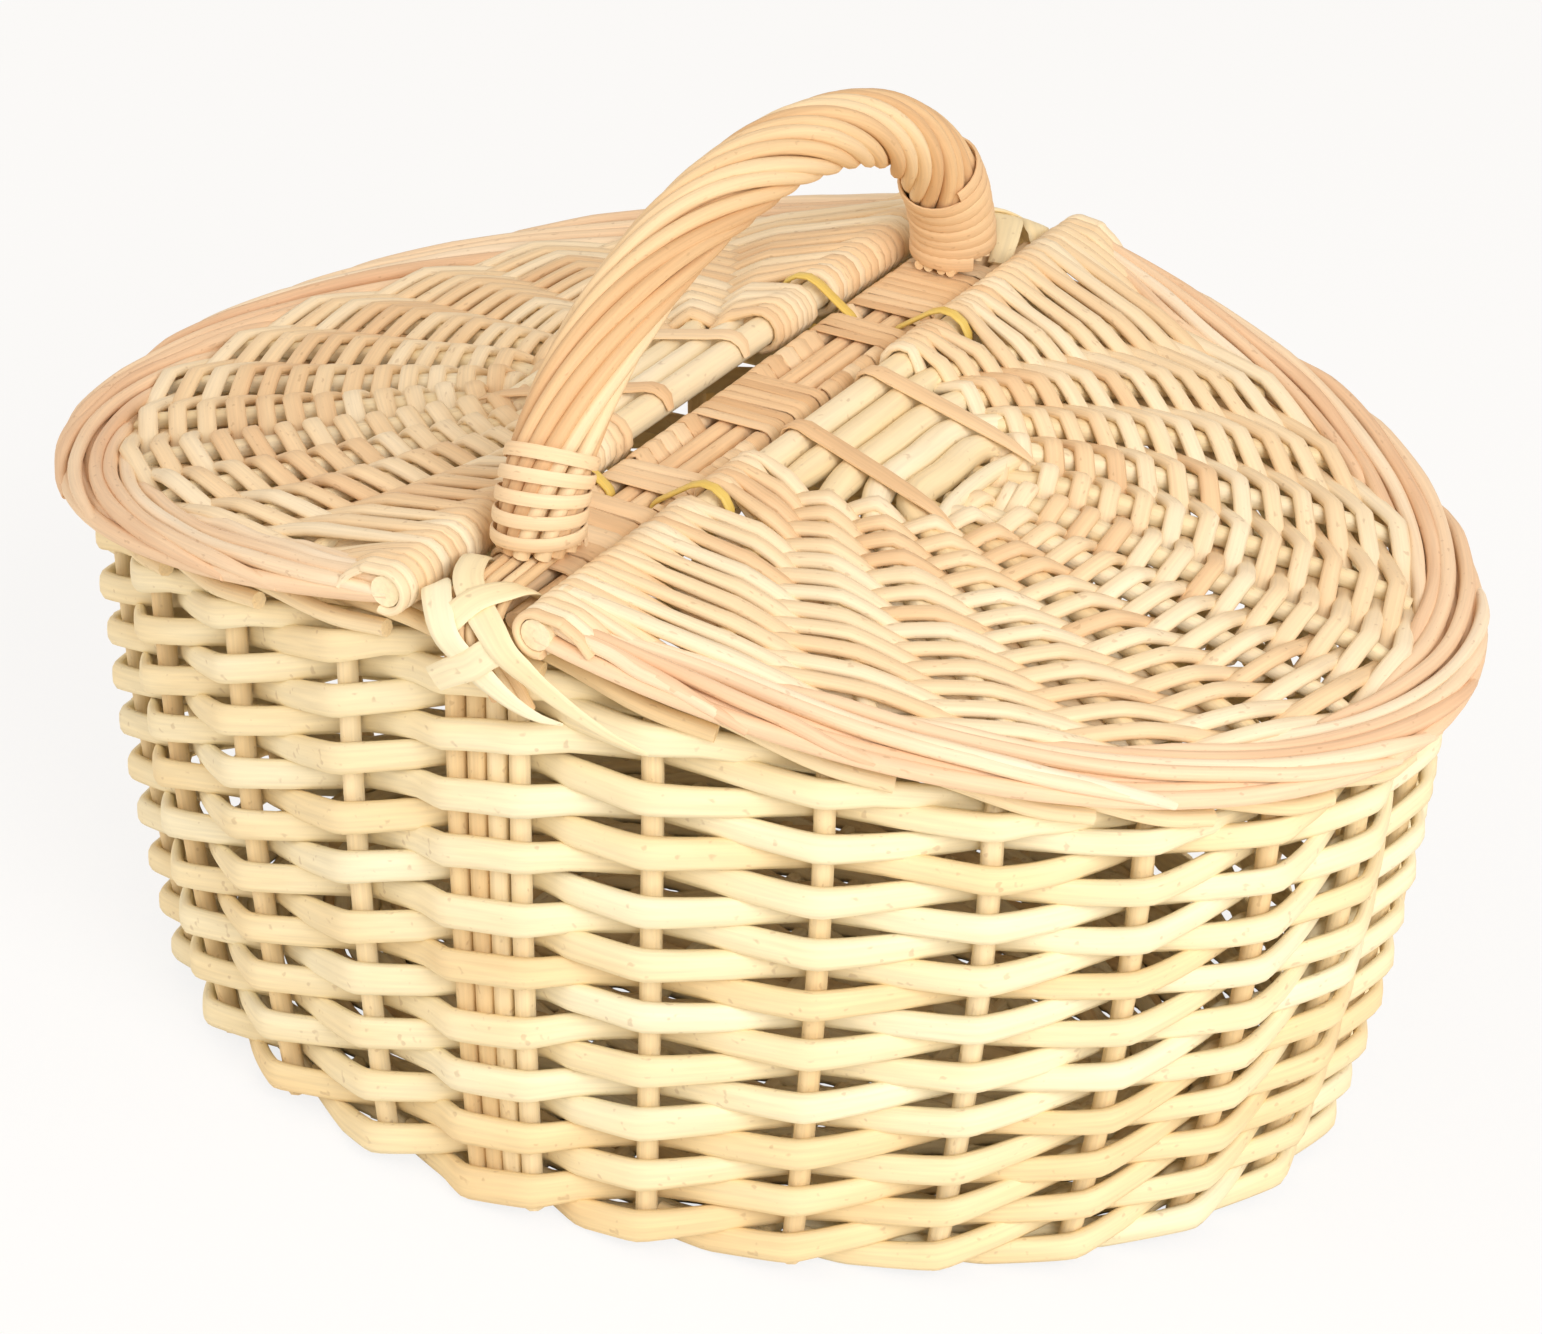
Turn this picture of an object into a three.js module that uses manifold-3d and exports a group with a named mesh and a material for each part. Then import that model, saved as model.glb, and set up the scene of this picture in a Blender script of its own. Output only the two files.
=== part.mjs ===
// Oval willow picnic basket: a randed side on upright stakes, two D-shaped lids that hinge on a
// centre bridge, and a roped arch handle. Millimetres, +Z up, origin at the middle of the base.
// X runs along the basket, Y across it in the plane of the handle.
import * as THREE from 'three';
import { mergeVertices } from 'three/addons/utils/BufferGeometryUtils.js';
import Module from 'manifold-3d';

const wasm = await Module();
wasm.setup();

// Driving dimensions: the side
const FOOT_HALF_X = 166;
const FOOT_HALF_Y = 124;
const RIM_HALF_X = 190;
const RIM_HALF_Y = 132;
const WEAVE_TOP_END = 128;
const WEAVE_TOP_SIDE = 163;
const RIM_ROUNDING = 0.15;
const STAKES = 26;
const STAKE_RADIUS = 3;
const STAKE_SIDES = 5;
const STAKE_STEPS = 3;
const PAIR_SPACING = 7.6;
const STAKE_FOOT = 1.5;
const CROSSINGS = 18;
const FIRST_ROW = 8.5;
const WEAVER_THICKNESS = 6.8;
const WEAVER_SIDES = 5;
const WEAVER_TAIL = 0.12;
const WEAVER_SLACK = 0.24;

// Driving dimensions: rim border and base
const BORDER_HALF_WIDTH = 8.4;
const BORDER_HALF_HEIGHT = 4.4;
const BORDER_PLAIT = 0.5;
const BORDER_SIDES = 8;
const BASE_THICKNESS = 8;
const BASE_RIDGE = 0.8;
const BASE_RINGS = 4;
const BASE_EYE_SHARE = 0.4;
const BASE_STICKS = 5;
const BASE_STICK_RADIUS = 3;
const BASE_STICK_PITCH = 7;
const BASE_STICK_LENGTH = 150;
const BASE_STICK_SIDES = 6;
const BASE_STICK_SINK = 1;

// Driving dimensions: bridge and hinge ties
const BRIDGE_STICK_RADIUS = 2.5;
const BRIDGE_STICK_SIDES = 8;
const BRIDGE_INNER_X = 2.8;
const BRIDGE_OUTER_X = 9.8;
const BRIDGE_OVERHANG = 4;
const SKEIN_THICKNESS = 1;
const WRAP_END_LENGTH = 42;
const WRAP_CENTRE_LENGTH = 30;
const WRAP_INSET = 41;
const WRAP_ARC_STEPS = 3;
const TIE_THICKNESS = 1.3;
const TIE_WIDTH = 3.5;
const TIE_Y = 64;
const TIE_ARC_STEPS = 5;

// Driving dimensions: lids
const HINGE_X = 22;
const LID_SLOPE_DEG = 12;
const LID_LENGTH = 187;
const LID_HALF_WIDTH = 147;
const LID_BORDER_WIDTH = 22;
const LID_BORDER_HEIGHT = 11;
const LID_BORDER_SIDES = 8;
const LID_BORDER_PLAIT = 0.5;
const LID_BAR_RADIUS = 4.6;
const LID_WEAVE_THICKNESS = 4.4;
const LID_WEAVE_BUMP = 2;
const LID_WEAVE_ROWS = 24;
const LID_WEAVE_COLUMNS = 13;
const LID_WEAVE_FAN = 1.4;
const LID_EYE_LENGTH = 58;
const LID_EYE_HALF_WIDTH = 40;
const LID_ROLL_THICKNESS = 2.6;
const LID_ROLL_SIDES = 8;
const LID_RODS = 4;
const LID_ROD_RADIUS = 4.2;
const LID_ROD_PITCH = 8.8;
const LID_FIRST_ROD_X = 9.2;
const LID_ROD_STRAIGHT = 26;
const LID_ROD_STEPS = 5;
const LID_ROD_SIDES = 6;
const LID_ROD_BEND = 0.35;
const LID_ROD_REACH = 16;
const LID_ROD_REACH_STEP = 3.4;
const LID_FAN_FIRST_DEG = 82;
const LID_FAN_LAST_DEG = 10;
const LID_BAND_WIDTH = 6.5;
const LID_BAND_THICKNESS = 1.4;
const LID_BAND_SINK = 0.6;
const LID_BAND_Y = 20;

// Driving dimensions: handle, its collars, splints and lashings
const HANDLE_HALF_SPAN = 109;
const HANDLE_RISE = 64;
const HANDLE_RADIUS = 10.8;
const HANDLE_STRANDS = 8;
const HANDLE_GROOVE = 1.3;
const HANDLE_STEPS = 20;
const HANDLE_TURNS = 1.6;
const COLLAR_WALL = 1.5;
const COLLAR_STEPS = 3;
const COLLAR_TURNS = 6;
const COLLAR_GROOVE = 0.6;
const COLLAR_SIDES = 10;
const SPLINTS = 2;
const SPLINT_PITCH = 7;
const SPLINT_HALF_WIDTH = 2.6;
const SPLINT_HALF_DEPTH = 1.6;
const SPLINT_DROP = 34;
const SPLINT_STEPS = 10;
const SPLINT_BEND_DROP = 6;
const SPLINT_BELLY = 1;
const LASHING_HALF_WIDTH = 4;
const LASHING_HALF_DEPTH = 0.7;
const LASHING_SPREAD = 24;
const LASHING_STEPS = 10;
const LASHING_FIRST_SHARE = 0.42;
const LASHING_LAST_SHARE = 0.98;
const LASHING_CLEAR_X = 16;

// Clearances: between touching pieces, between stacked rows, and under the border
const SEAT_GAP = 0.3;
const ROW_GAP = 0.5;
const BORDER_GAP = 1.4;

const WILLOW_SIDE = { color: 0xead7a8, roughness: 0.62, metalness: 0 };
const WILLOW_LID = { color: 0xdfba8c, roughness: 0.6, metalness: 0 };
const WILLOW_HANDLE = { color: 0xdcb882, roughness: 0.55, metalness: 0 };
const WILLOW_SKEIN = { color: 0xd9b183, roughness: 0.6, metalness: 0 };
const CANE_TIE = { color: 0xe0bd55, roughness: 0.5, metalness: 0 };

const basket = new THREE.Group();

function addMesh(parent, name, geometry, look) {
  const mesh = new THREE.Mesh(geometry, new THREE.MeshStandardMaterial(look));
  mesh.name = name;
  parent.add(mesh);
  return mesh;
}

// A closed skin over rings of points, capped at both ends.
function loft(rings) {
  const size = rings[0].length;
  const positions = rings.flat().flatMap((p) => [p.x, p.y, p.z]);
  const index = [];
  for (let i = 0; i + 1 < rings.length; i++) {
    for (let j = 0; j < size; j++) {
      const [a, b] = [i * size + j, i * size + ((j + 1) % size)];
      index.push(a, b, b + size, a, b + size, a + size);
    }
  }
  for (const [ring, flip] of [[0, true], [rings.length - 1, false]]) {
    const centre = positions.length / 3;
    const middle = new THREE.Vector3();
    rings[ring].forEach((p) => middle.addScaledVector(p, 1 / size));
    positions.push(middle.x, middle.y, middle.z);
    for (let j = 0; j < size; j++) {
      const [a, b] = [ring * size + j, ring * size + ((j + 1) % size)];
      index.push(...(flip ? [centre, b, a] : [centre, a, b]));
    }
  }
  const geometry = new THREE.BufferGeometry();
  geometry.setAttribute('position', new THREE.Float32BufferAttribute(positions, 3));
  geometry.setIndex(index);
  return facingOut(geometry);
}

// Turns a closed mesh the right way out, going by the sign of its volume.
function facingOut(geometry) {
  const p = geometry.attributes.position;
  const index = geometry.index.array;
  const [a, b, c] = [new THREE.Vector3(), new THREE.Vector3(), new THREE.Vector3()];
  let volume = 0;
  for (let i = 0; i < index.length; i += 3) {
    a.fromBufferAttribute(p, index[i]);
    b.fromBufferAttribute(p, index[i + 1]);
    c.fromBufferAttribute(p, index[i + 2]);
    volume += a.dot(b.cross(c));
  }
  if (volume < 0) {
    for (let i = 0; i < index.length; i += 3) {
      [index[i + 1], index[i + 2]] = [index[i + 2], index[i + 1]];
    }
  }
  geometry.computeVertexNormals();
  return geometry;
}

// Points of a regular outline with half sizes u and v; flats face the axes when flat is true.
function outline(sides, halfU, halfV, flat = false) {
  const start = flat ? Math.PI / sides : 0;
  const reach = flat ? 1 / Math.cos(Math.PI / sides) : 1;
  return Array.from({ length: sides }, (_, i) => {
    const angle = start + (i * 2 * Math.PI) / sides;
    return [halfU * reach * Math.cos(angle), halfV * reach * Math.sin(angle)];
  });
}

function ringAt(centre, u, v, profile) {
  return profile.map(([a, b]) => centre.clone().addScaledVector(u, a).addScaledVector(v, b));
}

function roundRod(curve, radius, steps, sides) {
  const shape = new THREE.Shape(outline(sides, radius, radius).map(([a, b]) => new THREE.Vector2(a, b)));
  return new THREE.ExtrudeGeometry(shape, { steps, bevelEnabled: false, extrudePath: curve });
}

function toSolid(geometry) {
  const bare = geometry.clone();
  bare.deleteAttribute('normal');
  bare.deleteAttribute('uv');
  const merged = mergeVertices(bare, 1e-4);
  return new wasm.Manifold(new wasm.Mesh({
    numProp: 3,
    vertProperties: new Float32Array(merged.attributes.position.array),
    triVerts: new Uint32Array(merged.index.array),
  }));
}

function toGeometry(solid) {
  const mesh = solid.getMesh();
  const geometry = new THREE.BufferGeometry();
  geometry.setAttribute('position', new THREE.BufferAttribute(new Float32Array(mesh.vertProperties), 3));
  geometry.setIndex(new THREE.BufferAttribute(new Uint32Array(mesh.triVerts), 1));
  geometry.computeVertexNormals();
  return geometry;
}

function join(geometries, cutters = []) {
  const whole = geometries.map(toSolid).reduce((sum, solid) => sum.add(solid));
  return toGeometry(cutters.map(toSolid).reduce((rest, solid) => rest.subtract(solid), whole));
}

// The wall: an oval that flares from foot to rim, and a rim that falls from the handle to the ends
const stakeStep = (2 * Math.PI) / STAKES;
const handleStakes = [0, STAKES / 2];
const stakeAngle = (i) => -Math.PI / 2 + i * stakeStep;
const wallHeight = WEAVE_TOP_SIDE;

function wallPoint(angle, z, offset = 0) {
  const flare = 1 - (1 - Math.min(z, wallHeight) / wallHeight) ** 2;
  const a = FOOT_HALF_X + (RIM_HALF_X - FOOT_HALF_X) * flare;
  const b = FOOT_HALF_Y + (RIM_HALF_Y - FOOT_HALF_Y) * flare;
  const out = wallNormal(angle);
  return new THREE.Vector3(a * Math.cos(angle) + offset * out.x, b * Math.sin(angle) + offset * out.y, z);
}

function wallNormal(angle) {
  return new THREE.Vector3(Math.cos(angle) / RIM_HALF_X, Math.sin(angle) / RIM_HALF_Y, 0).normalize();
}

function weaveTop(angle) {
  const c = Math.cos(angle);
  const fall = (Math.hypot(c, RIM_ROUNDING) - RIM_ROUNDING) / (Math.hypot(1, RIM_ROUNDING) - RIM_ROUNDING);
  return WEAVE_TOP_SIDE - (WEAVE_TOP_SIDE - WEAVE_TOP_END) * fall;
}

const rowRise = (angle) => (weaveTop(angle) - FIRST_ROW) / CROSSINGS;
const borderZ = (angle) => weaveTop(angle) + rowRise(angle) / 2 + BORDER_GAP + BORDER_HALF_HEIGHT;
const rimTopSide = borderZ(-Math.PI / 2) + BORDER_HALF_HEIGHT + BORDER_PLAIT;
const rimTopEnd = borderZ(0) + BORDER_HALF_HEIGHT + BORDER_PLAIT;

// Half the angle between the two rods of a doubled stake beside the handle
const pairHalfAngle = PAIR_SPACING / 2 / RIM_HALF_X;

function anglesAtStake(i) {
  const angle = stakeAngle(i);
  const doubled = handleStakes.includes(((i % STAKES) + STAKES) % STAKES);
  return doubled ? [angle - pairHalfAngle, angle + pairHalfAngle] : [angle];
}

// Side weavers, one starting at each stake. Each rod runs in front of one stake and behind the next
// and climbs one row a stake, so the rods lie side by side like the starts of a screw.
const weaverOffset = WEAVER_THICKNESS / 2 + STAKE_RADIUS + WEAVER_SLACK + SEAT_GAP;

function weaverStations(first) {
  const stations = [];
  for (let m = 0; m <= CROSSINGS; m++) {
    for (const angle of anglesAtStake(first + m)) {
      const climb = m + (angle - stakeAngle(first + m)) / stakeStep;
      stations.push({ angle, z: FIRST_ROW + climb * rowRise(angle), offset: m % 2 ? -weaverOffset : weaverOffset });
    }
  }
  return stations;
}

function weaverRing({ angle, z, offset }) {
  const up = new THREE.Vector3(0, 0, 1);
  const profile = outline(WEAVER_SIDES, (rowRise(angle) - ROW_GAP) / 2, WEAVER_THICKNESS / 2);
  return ringAt(wallPoint(angle, z, offset), up, wallNormal(angle), profile);
}

// The last point of a rod, part of the way to the next stake.
function tailRing(ring, towards) {
  return ring.map((p, i) => p.clone().lerp(towards[i], WEAVER_TAIL));
}

function makeWeaver(first) {
  const rings = weaverStations(first).map(weaverRing);
  const before = weaverStations(first - 1)[0];
  const start = weaverRing({ ...before, z: FIRST_ROW - rowRise(before.angle), offset: -weaverOffset });
  const lastAngle = anglesAtStake(first + CROSSINGS + 1)[0];
  const endZ = FIRST_ROW + (CROSSINGS + 1) * rowRise(lastAngle);
  const end = weaverRing({ angle: lastAngle, z: endZ, offset: -weaverOffset });
  return loft([tailRing(rings[0], start), ...rings, tailRing(rings[rings.length - 1], end)]);
}

for (let i = 0; i < STAKES; i++) {
  addMesh(basket, `side_weaver_${String(i + 1).padStart(2, '0')}`, makeWeaver(i), WILLOW_SIDE);
}

// Stakes and the rim border that their tops are turned down into
function makeStake(angle) {
  const top = borderZ(angle);
  const across = new THREE.Vector3(-wallNormal(angle).y, wallNormal(angle).x, 0);
  const profile = outline(STAKE_SIDES, STAKE_RADIUS, STAKE_RADIUS);
  const rings = [];
  for (let i = 0; i <= STAKE_STEPS; i++) {
    const z = STAKE_FOOT + ((top - STAKE_FOOT) * i) / STAKE_STEPS;
    rings.push(ringAt(wallPoint(angle, z), wallNormal(angle), across, profile));
  }
  return loft(rings);
}

// A stretch of the border over some of the stakes, which swells between them and stops halfway to the next.
function makeBorder(first, last) {
  const rings = [];
  const hair = SEAT_GAP / 2 / RIM_HALF_Y;
  for (let step = 2 * first - 1; step <= 2 * last + 1; step++) {
    const between = step % 2 !== 0;
    const inset = step < 2 * first ? hair : step > 2 * last ? -hair : 0;
    const angle = stakeAngle(step / 2) + inset;
    const swell = between ? BORDER_PLAIT : -BORDER_PLAIT;
    const profile = outline(BORDER_SIDES, BORDER_HALF_WIDTH + swell, BORDER_HALF_HEIGHT, true);
    const centre = wallPoint(angle, borderZ(angle) + (between ? BORDER_PLAIT : 0));
    rings.push(ringAt(centre, wallNormal(angle), new THREE.Vector3(0, 0, 1), profile));
  }
  return loft(rings);
}

// Four frames make up the oval: one about each handle place and one round each end.
const frontLast = Math.floor(STAKES / 8);
const backFirst = STAKES / 2 - frontLast;
const frames = {
  front: [-frontLast, frontLast],
  right: [frontLast + 1, backFirst - 1],
  back: [backFirst, STAKES / 2 + frontLast],
  left: [STAKES / 2 + frontLast + 1, STAKES - frontLast - 1],
};
for (const [name, [first, last]] of Object.entries(frames)) {
  const pieces = [makeBorder(first, last)];
  for (let i = first; i <= last; i++) pieces.push(...anglesAtStake(i).map(makeStake));
  addMesh(basket, `stake_frame_${name}`, join(pieces), WILLOW_SIDE);
}

// Base: rounds of weaving about parallel sticks, flat underneath, set against the feet of the stakes
function makeBase() {
  const seat = STAKE_RADIUS * Math.cos(Math.PI / STAKE_SIDES) + SEAT_GAP;
  const oval = (share, z) => Array.from({ length: STAKES }, (_, i) => {
    const edge = wallPoint(stakeAngle(i), STAKE_FOOT, -seat);
    return new THREE.Vector3(edge.x * share, edge.y * share, z);
  });
  const rings = [oval(1, 0)];
  for (let i = 0; i <= BASE_RINGS; i++) {
    const share = 1 - (i / BASE_RINGS) * (1 - BASE_EYE_SHARE);
    rings.push(oval(share, BASE_THICKNESS + (i % 2 ? BASE_RIDGE : 0)));
  }
  const sticks = Array.from({ length: BASE_STICKS }, (_, i) => {
    const stick = barAlongY(BASE_STICK_RADIUS, BASE_STICK_LENGTH, 0, BASE_STICK_SIDES).rotateZ(Math.PI / 2);
    const y = (i - (BASE_STICKS - 1) / 2) * BASE_STICK_PITCH;
    return stick.translate(0, y, BASE_THICKNESS - BASE_STICK_SINK);
  });
  return join([loft(rings), ...sticks]);
}

addMesh(basket, 'base', makeBase(), WILLOW_SIDE);

// A rounded bar along Y.
function barAlongY(radius, length, y, sides) {
  return new THREE.CylinderGeometry(radius, radius, length, sides).translate(0, y, 0);
}

// Bridge across the middle: four sticks laid on the rim, wound round with flat skeins
const bridgeZ = rimTopSide + SEAT_GAP + BRIDGE_STICK_RADIUS;
const bridgeHalfLength = RIM_HALF_Y + BRIDGE_OVERHANG;
const skeinReach = BRIDGE_STICK_RADIUS + SEAT_GAP + SKEIN_THICKNESS;
const bridgeTop = bridgeZ + skeinReach;

[-BRIDGE_OUTER_X, -BRIDGE_INNER_X, BRIDGE_INNER_X, BRIDGE_OUTER_X].forEach((x, i) => {
  const stick = barAlongY(BRIDGE_STICK_RADIUS, 2 * bridgeHalfLength, 0, BRIDGE_STICK_SIDES);
  addMesh(basket, `bridge_stick_${i + 1}`, stick.translate(x, 0, bridgeZ), WILLOW_SKEIN);
});

// A band with round ends in X and Z about the bridge's sticks, as a path for a hole or an outline.
function slot(Path, halfLength, reach) {
  const path = new Path();
  path.absarc(halfLength, 0, reach, -Math.PI / 2, Math.PI / 2, false);
  path.absarc(-halfLength, 0, reach, Math.PI / 2, (3 * Math.PI) / 2, false);
  return path;
}

function makeWrap(length) {
  const band = slot(THREE.Shape, BRIDGE_OUTER_X, skeinReach);
  band.holes.push(slot(THREE.Path, BRIDGE_OUTER_X, BRIDGE_STICK_RADIUS + SEAT_GAP));
  const wrap = new THREE.ExtrudeGeometry(band, { depth: length, bevelEnabled: false, curveSegments: WRAP_ARC_STEPS });
  return wrap.translate(0, 0, -length / 2).rotateX(Math.PI / 2);
}

const wrapY = RIM_HALF_Y - WRAP_INSET;
const wraps = {
  front: [-wrapY, WRAP_END_LENGTH],
  centre: [0, WRAP_CENTRE_LENGTH],
  back: [wrapY, WRAP_END_LENGTH],
};
for (const [name, [y, length]] of Object.entries(wraps)) {
  addMesh(basket, `bridge_wrap_${name}`, makeWrap(length).translate(0, y, bridgeZ), WILLOW_SKEIN);
}

// Lids: each hangs on a bar beside the bridge and slopes down to rest on the rim's end
const lidSlope = THREE.MathUtils.degToRad(LID_SLOPE_DEG);
const rimFlat = BORDER_HALF_WIDTH * Math.tan(Math.PI / BORDER_SIDES);
const lidSeatX = RIM_HALF_X + rimFlat - HINGE_X;
const lidUnderside = LID_BORDER_HEIGHT / 2 / Math.cos(lidSlope);
const hingeZ = rimTopEnd + SEAT_GAP + lidUnderside + lidSeatX * Math.tan(lidSlope);
const panelLength = LID_LENGTH - LID_BORDER_WIDTH - SEAT_GAP;
const panelHalfWidth = LID_HALF_WIDTH - LID_BORDER_WIDTH - SEAT_GAP;
const rollRadius = LID_BAR_RADIUS + SEAT_GAP + LID_ROLL_THICKNESS;
const tieWindow = TIE_WIDTH + 2 * ROW_GAP;

// A rib's angle: even steps round the D's outside, drawn towards the bar near the eye where the ribs start.
function ribAngle(column, share) {
  const outer = (2 * column) / LID_WEAVE_COLUMNS - 1;
  const inner = Math.sign(outer) * (1 - (1 - Math.abs(outer)) ** LID_WEAVE_FAN);
  return (Math.PI / 2) * THREE.MathUtils.lerp(inner, outer, share);
}

// The woven panel: rows run round the D, over one rib and under the next.
function makePanel() {
  const rings = [];
  const point = (row, column, side) => {
    const share = row / LID_WEAVE_ROWS;
    const angle = ribAngle(column, share);
    const edge = row === 0 || row === LID_WEAVE_ROWS || column === 0 || column === LID_WEAVE_COLUMNS;
    const bump = edge ? 0 : LID_WEAVE_BUMP * ((row + column) % 2 ? 1 : -1);
    const x = THREE.MathUtils.lerp(LID_EYE_LENGTH, panelLength, share) * Math.cos(angle);
    const y = THREE.MathUtils.lerp(LID_EYE_HALF_WIDTH, panelHalfWidth, share) * Math.sin(angle);
    return new THREE.Vector3(x, y, side * (LID_WEAVE_THICKNESS / 2) + bump);
  };
  for (let column = 0; column <= LID_WEAVE_COLUMNS; column++) {
    const ring = [];
    for (let row = 0; row <= LID_WEAVE_ROWS; row++) ring.push(point(row, column, 1));
    for (let row = LID_WEAVE_ROWS; row >= 0; row--) ring.push(point(row, column, -1));
    rings.push(ring);
  }
  return stripLoft(rings);
}

// A closed skin over long thin rings, whose end caps are strips between their two long sides.
function stripLoft(rings) {
  const size = rings[0].length;
  const rows = size / 2;
  const positions = rings.flat().flatMap((p) => [p.x, p.y, p.z]);
  const index = [];
  for (let i = 0; i + 1 < rings.length; i++) {
    for (let j = 0; j < size; j++) {
      const [a, b] = [i * size + j, i * size + ((j + 1) % size)];
      index.push(a, b, b + size, a, b + size, a + size);
    }
  }
  for (const [ring, flip] of [[0, true], [rings.length - 1, false]]) {
    for (let j = 0; j + 1 < rows; j++) {
      const [a, b] = [ring * size + j, ring * size + j + 1];
      const [c, d] = [ring * size + size - 2 - j, ring * size + size - 1 - j];
      index.push(...(flip ? [a, c, b, a, d, c] : [a, b, c, a, c, d]));
    }
  }
  const geometry = new THREE.BufferGeometry();
  geometry.setAttribute('position', new THREE.Float32BufferAttribute(positions, 3));
  geometry.setIndex(index);
  return facingOut(geometry);
}

// A rod of the eye: straight beside the bar, then fanned out at both ends into the panel.
function makeEyeRod(i) {
  const x = LID_FIRST_ROD_X + i * LID_ROD_PITCH;
  const turn = THREE.MathUtils.lerp(LID_FAN_FIRST_DEG, LID_FAN_LAST_DEG, i / (LID_RODS - 1));
  const fan = THREE.MathUtils.degToRad(turn);
  const reach = LID_ROD_REACH - i * LID_ROD_REACH_STEP;
  const end = (s) => new THREE.Vector3(x + reach * Math.cos(fan), s * (LID_ROD_STRAIGHT + reach * Math.sin(fan)), 0);
  const bend = (s) => new THREE.Vector3(x, s * LID_ROD_STRAIGHT, 0);
  const curve = new THREE.CatmullRomCurve3([end(-1), bend(-1), bend(1), end(1)], false, 'catmullrom', LID_ROD_BEND);
  return roundRod(curve, LID_ROD_RADIUS, LID_ROD_STEPS, LID_ROD_SIDES);
}

// A flat splint bound over the eye's rods and pressed into them, with its ends turned down beside them.
function makeBand() {
  const low = LID_ROD_RADIUS - LID_BAND_SINK;
  const high = low + LID_BAND_THICKNESS;
  const near = LID_FIRST_ROD_X - LID_ROD_RADIUS;
  const far = LID_FIRST_ROD_X + (LID_RODS - 1) * LID_ROD_PITCH + LID_ROD_RADIUS;
  const shape = new THREE.Shape();
  shape.moveTo(near - LID_BAND_THICKNESS, 0);
  shape.lineTo(near, 0);
  shape.lineTo(near, low);
  shape.lineTo(far, low);
  shape.lineTo(far, 0);
  shape.lineTo(far + LID_BAND_THICKNESS, 0);
  shape.lineTo(far + LID_BAND_THICKNESS, high);
  shape.lineTo(near - LID_BAND_THICKNESS, high);
  const band = new THREE.ExtrudeGeometry(shape, { depth: LID_BAND_WIDTH, bevelEnabled: false });
  return band.translate(0, 0, -LID_BAND_WIDTH / 2).rotateX(Math.PI / 2);
}

function makeLidWeave() {
  const pieces = [makePanel()];
  const cutters = [barAlongY(LID_BAR_RADIUS + SEAT_GAP, 2 * LID_HALF_WIDTH, 0, LID_ROLL_SIDES)];
  for (let i = 0; i < LID_RODS; i++) pieces.push(makeEyeRod(i));
  for (const s of [-1, 1]) pieces.push(makeBand().translate(0, s * LID_BAND_Y, 0));
  const rollLength = panelHalfWidth - LID_EYE_HALF_WIDTH;
  const rollY = (panelHalfWidth + LID_EYE_HALF_WIDTH) / 2;
  for (const s of [-1, 1]) {
    pieces.push(barAlongY(rollRadius, rollLength, s * rollY, LID_ROLL_SIDES));
    const window = new THREE.BoxGeometry(2 * (rollRadius + ROW_GAP), tieWindow, 4 * rollRadius);
    cutters.push(window.translate(0, s * TIE_Y, 0));
  }
  return join(pieces, cutters);
}

// The lid's border: a plaited band round the D, ending beside the bar, with two steps to each rib.
const lidBorderSteps = 2 * LID_WEAVE_COLUMNS;

function makeLidBorder() {
  const rings = [];
  for (let i = 0; i <= lidBorderSteps; i++) {
    const angle = -Math.PI / 2 + (Math.PI * i) / lidBorderSteps;
    const a = LID_LENGTH - LID_BORDER_WIDTH / 2;
    const b = LID_HALF_WIDTH - LID_BORDER_WIDTH / 2;
    const out = new THREE.Vector3(Math.cos(angle) / a, Math.sin(angle) / b, 0).normalize();
    const swell = i % 2 ? 0 : -LID_BORDER_PLAIT;
    const profile = outline(LID_BORDER_SIDES, LID_BORDER_WIDTH / 2 + swell, LID_BORDER_HEIGHT / 2 + swell, true);
    const centre = new THREE.Vector3(a * Math.cos(angle), b * Math.sin(angle), 0);
    rings.push(ringAt(centre, out, new THREE.Vector3(0, 0, 1), profile));
  }
  return loft(rings);
}

function addLid(side, turn) {
  const half = new THREE.Group();
  half.rotation.z = turn;
  const lid = new THREE.Group();
  lid.position.set(HINGE_X, 0, hingeZ);
  lid.rotation.y = lidSlope;
  half.add(lid);
  basket.add(half);
  const bar = barAlongY(LID_BAR_RADIUS, 2 * panelHalfWidth, 0, LID_ROLL_SIDES);
  addMesh(lid, `${side}_lid_bar`, bar, WILLOW_LID);
  addMesh(lid, `${side}_lid_weave`, makeLidWeave(), WILLOW_LID);
  addMesh(lid, `${side}_lid_border`, makeLidBorder(), WILLOW_LID);
  [-1, 1].forEach((s, i) => {
    addMesh(half, `${side}_hinge_tie_${i + 1}`, makeTie(), CANE_TIE).position.y = s * TIE_Y;
  });
}

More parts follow.
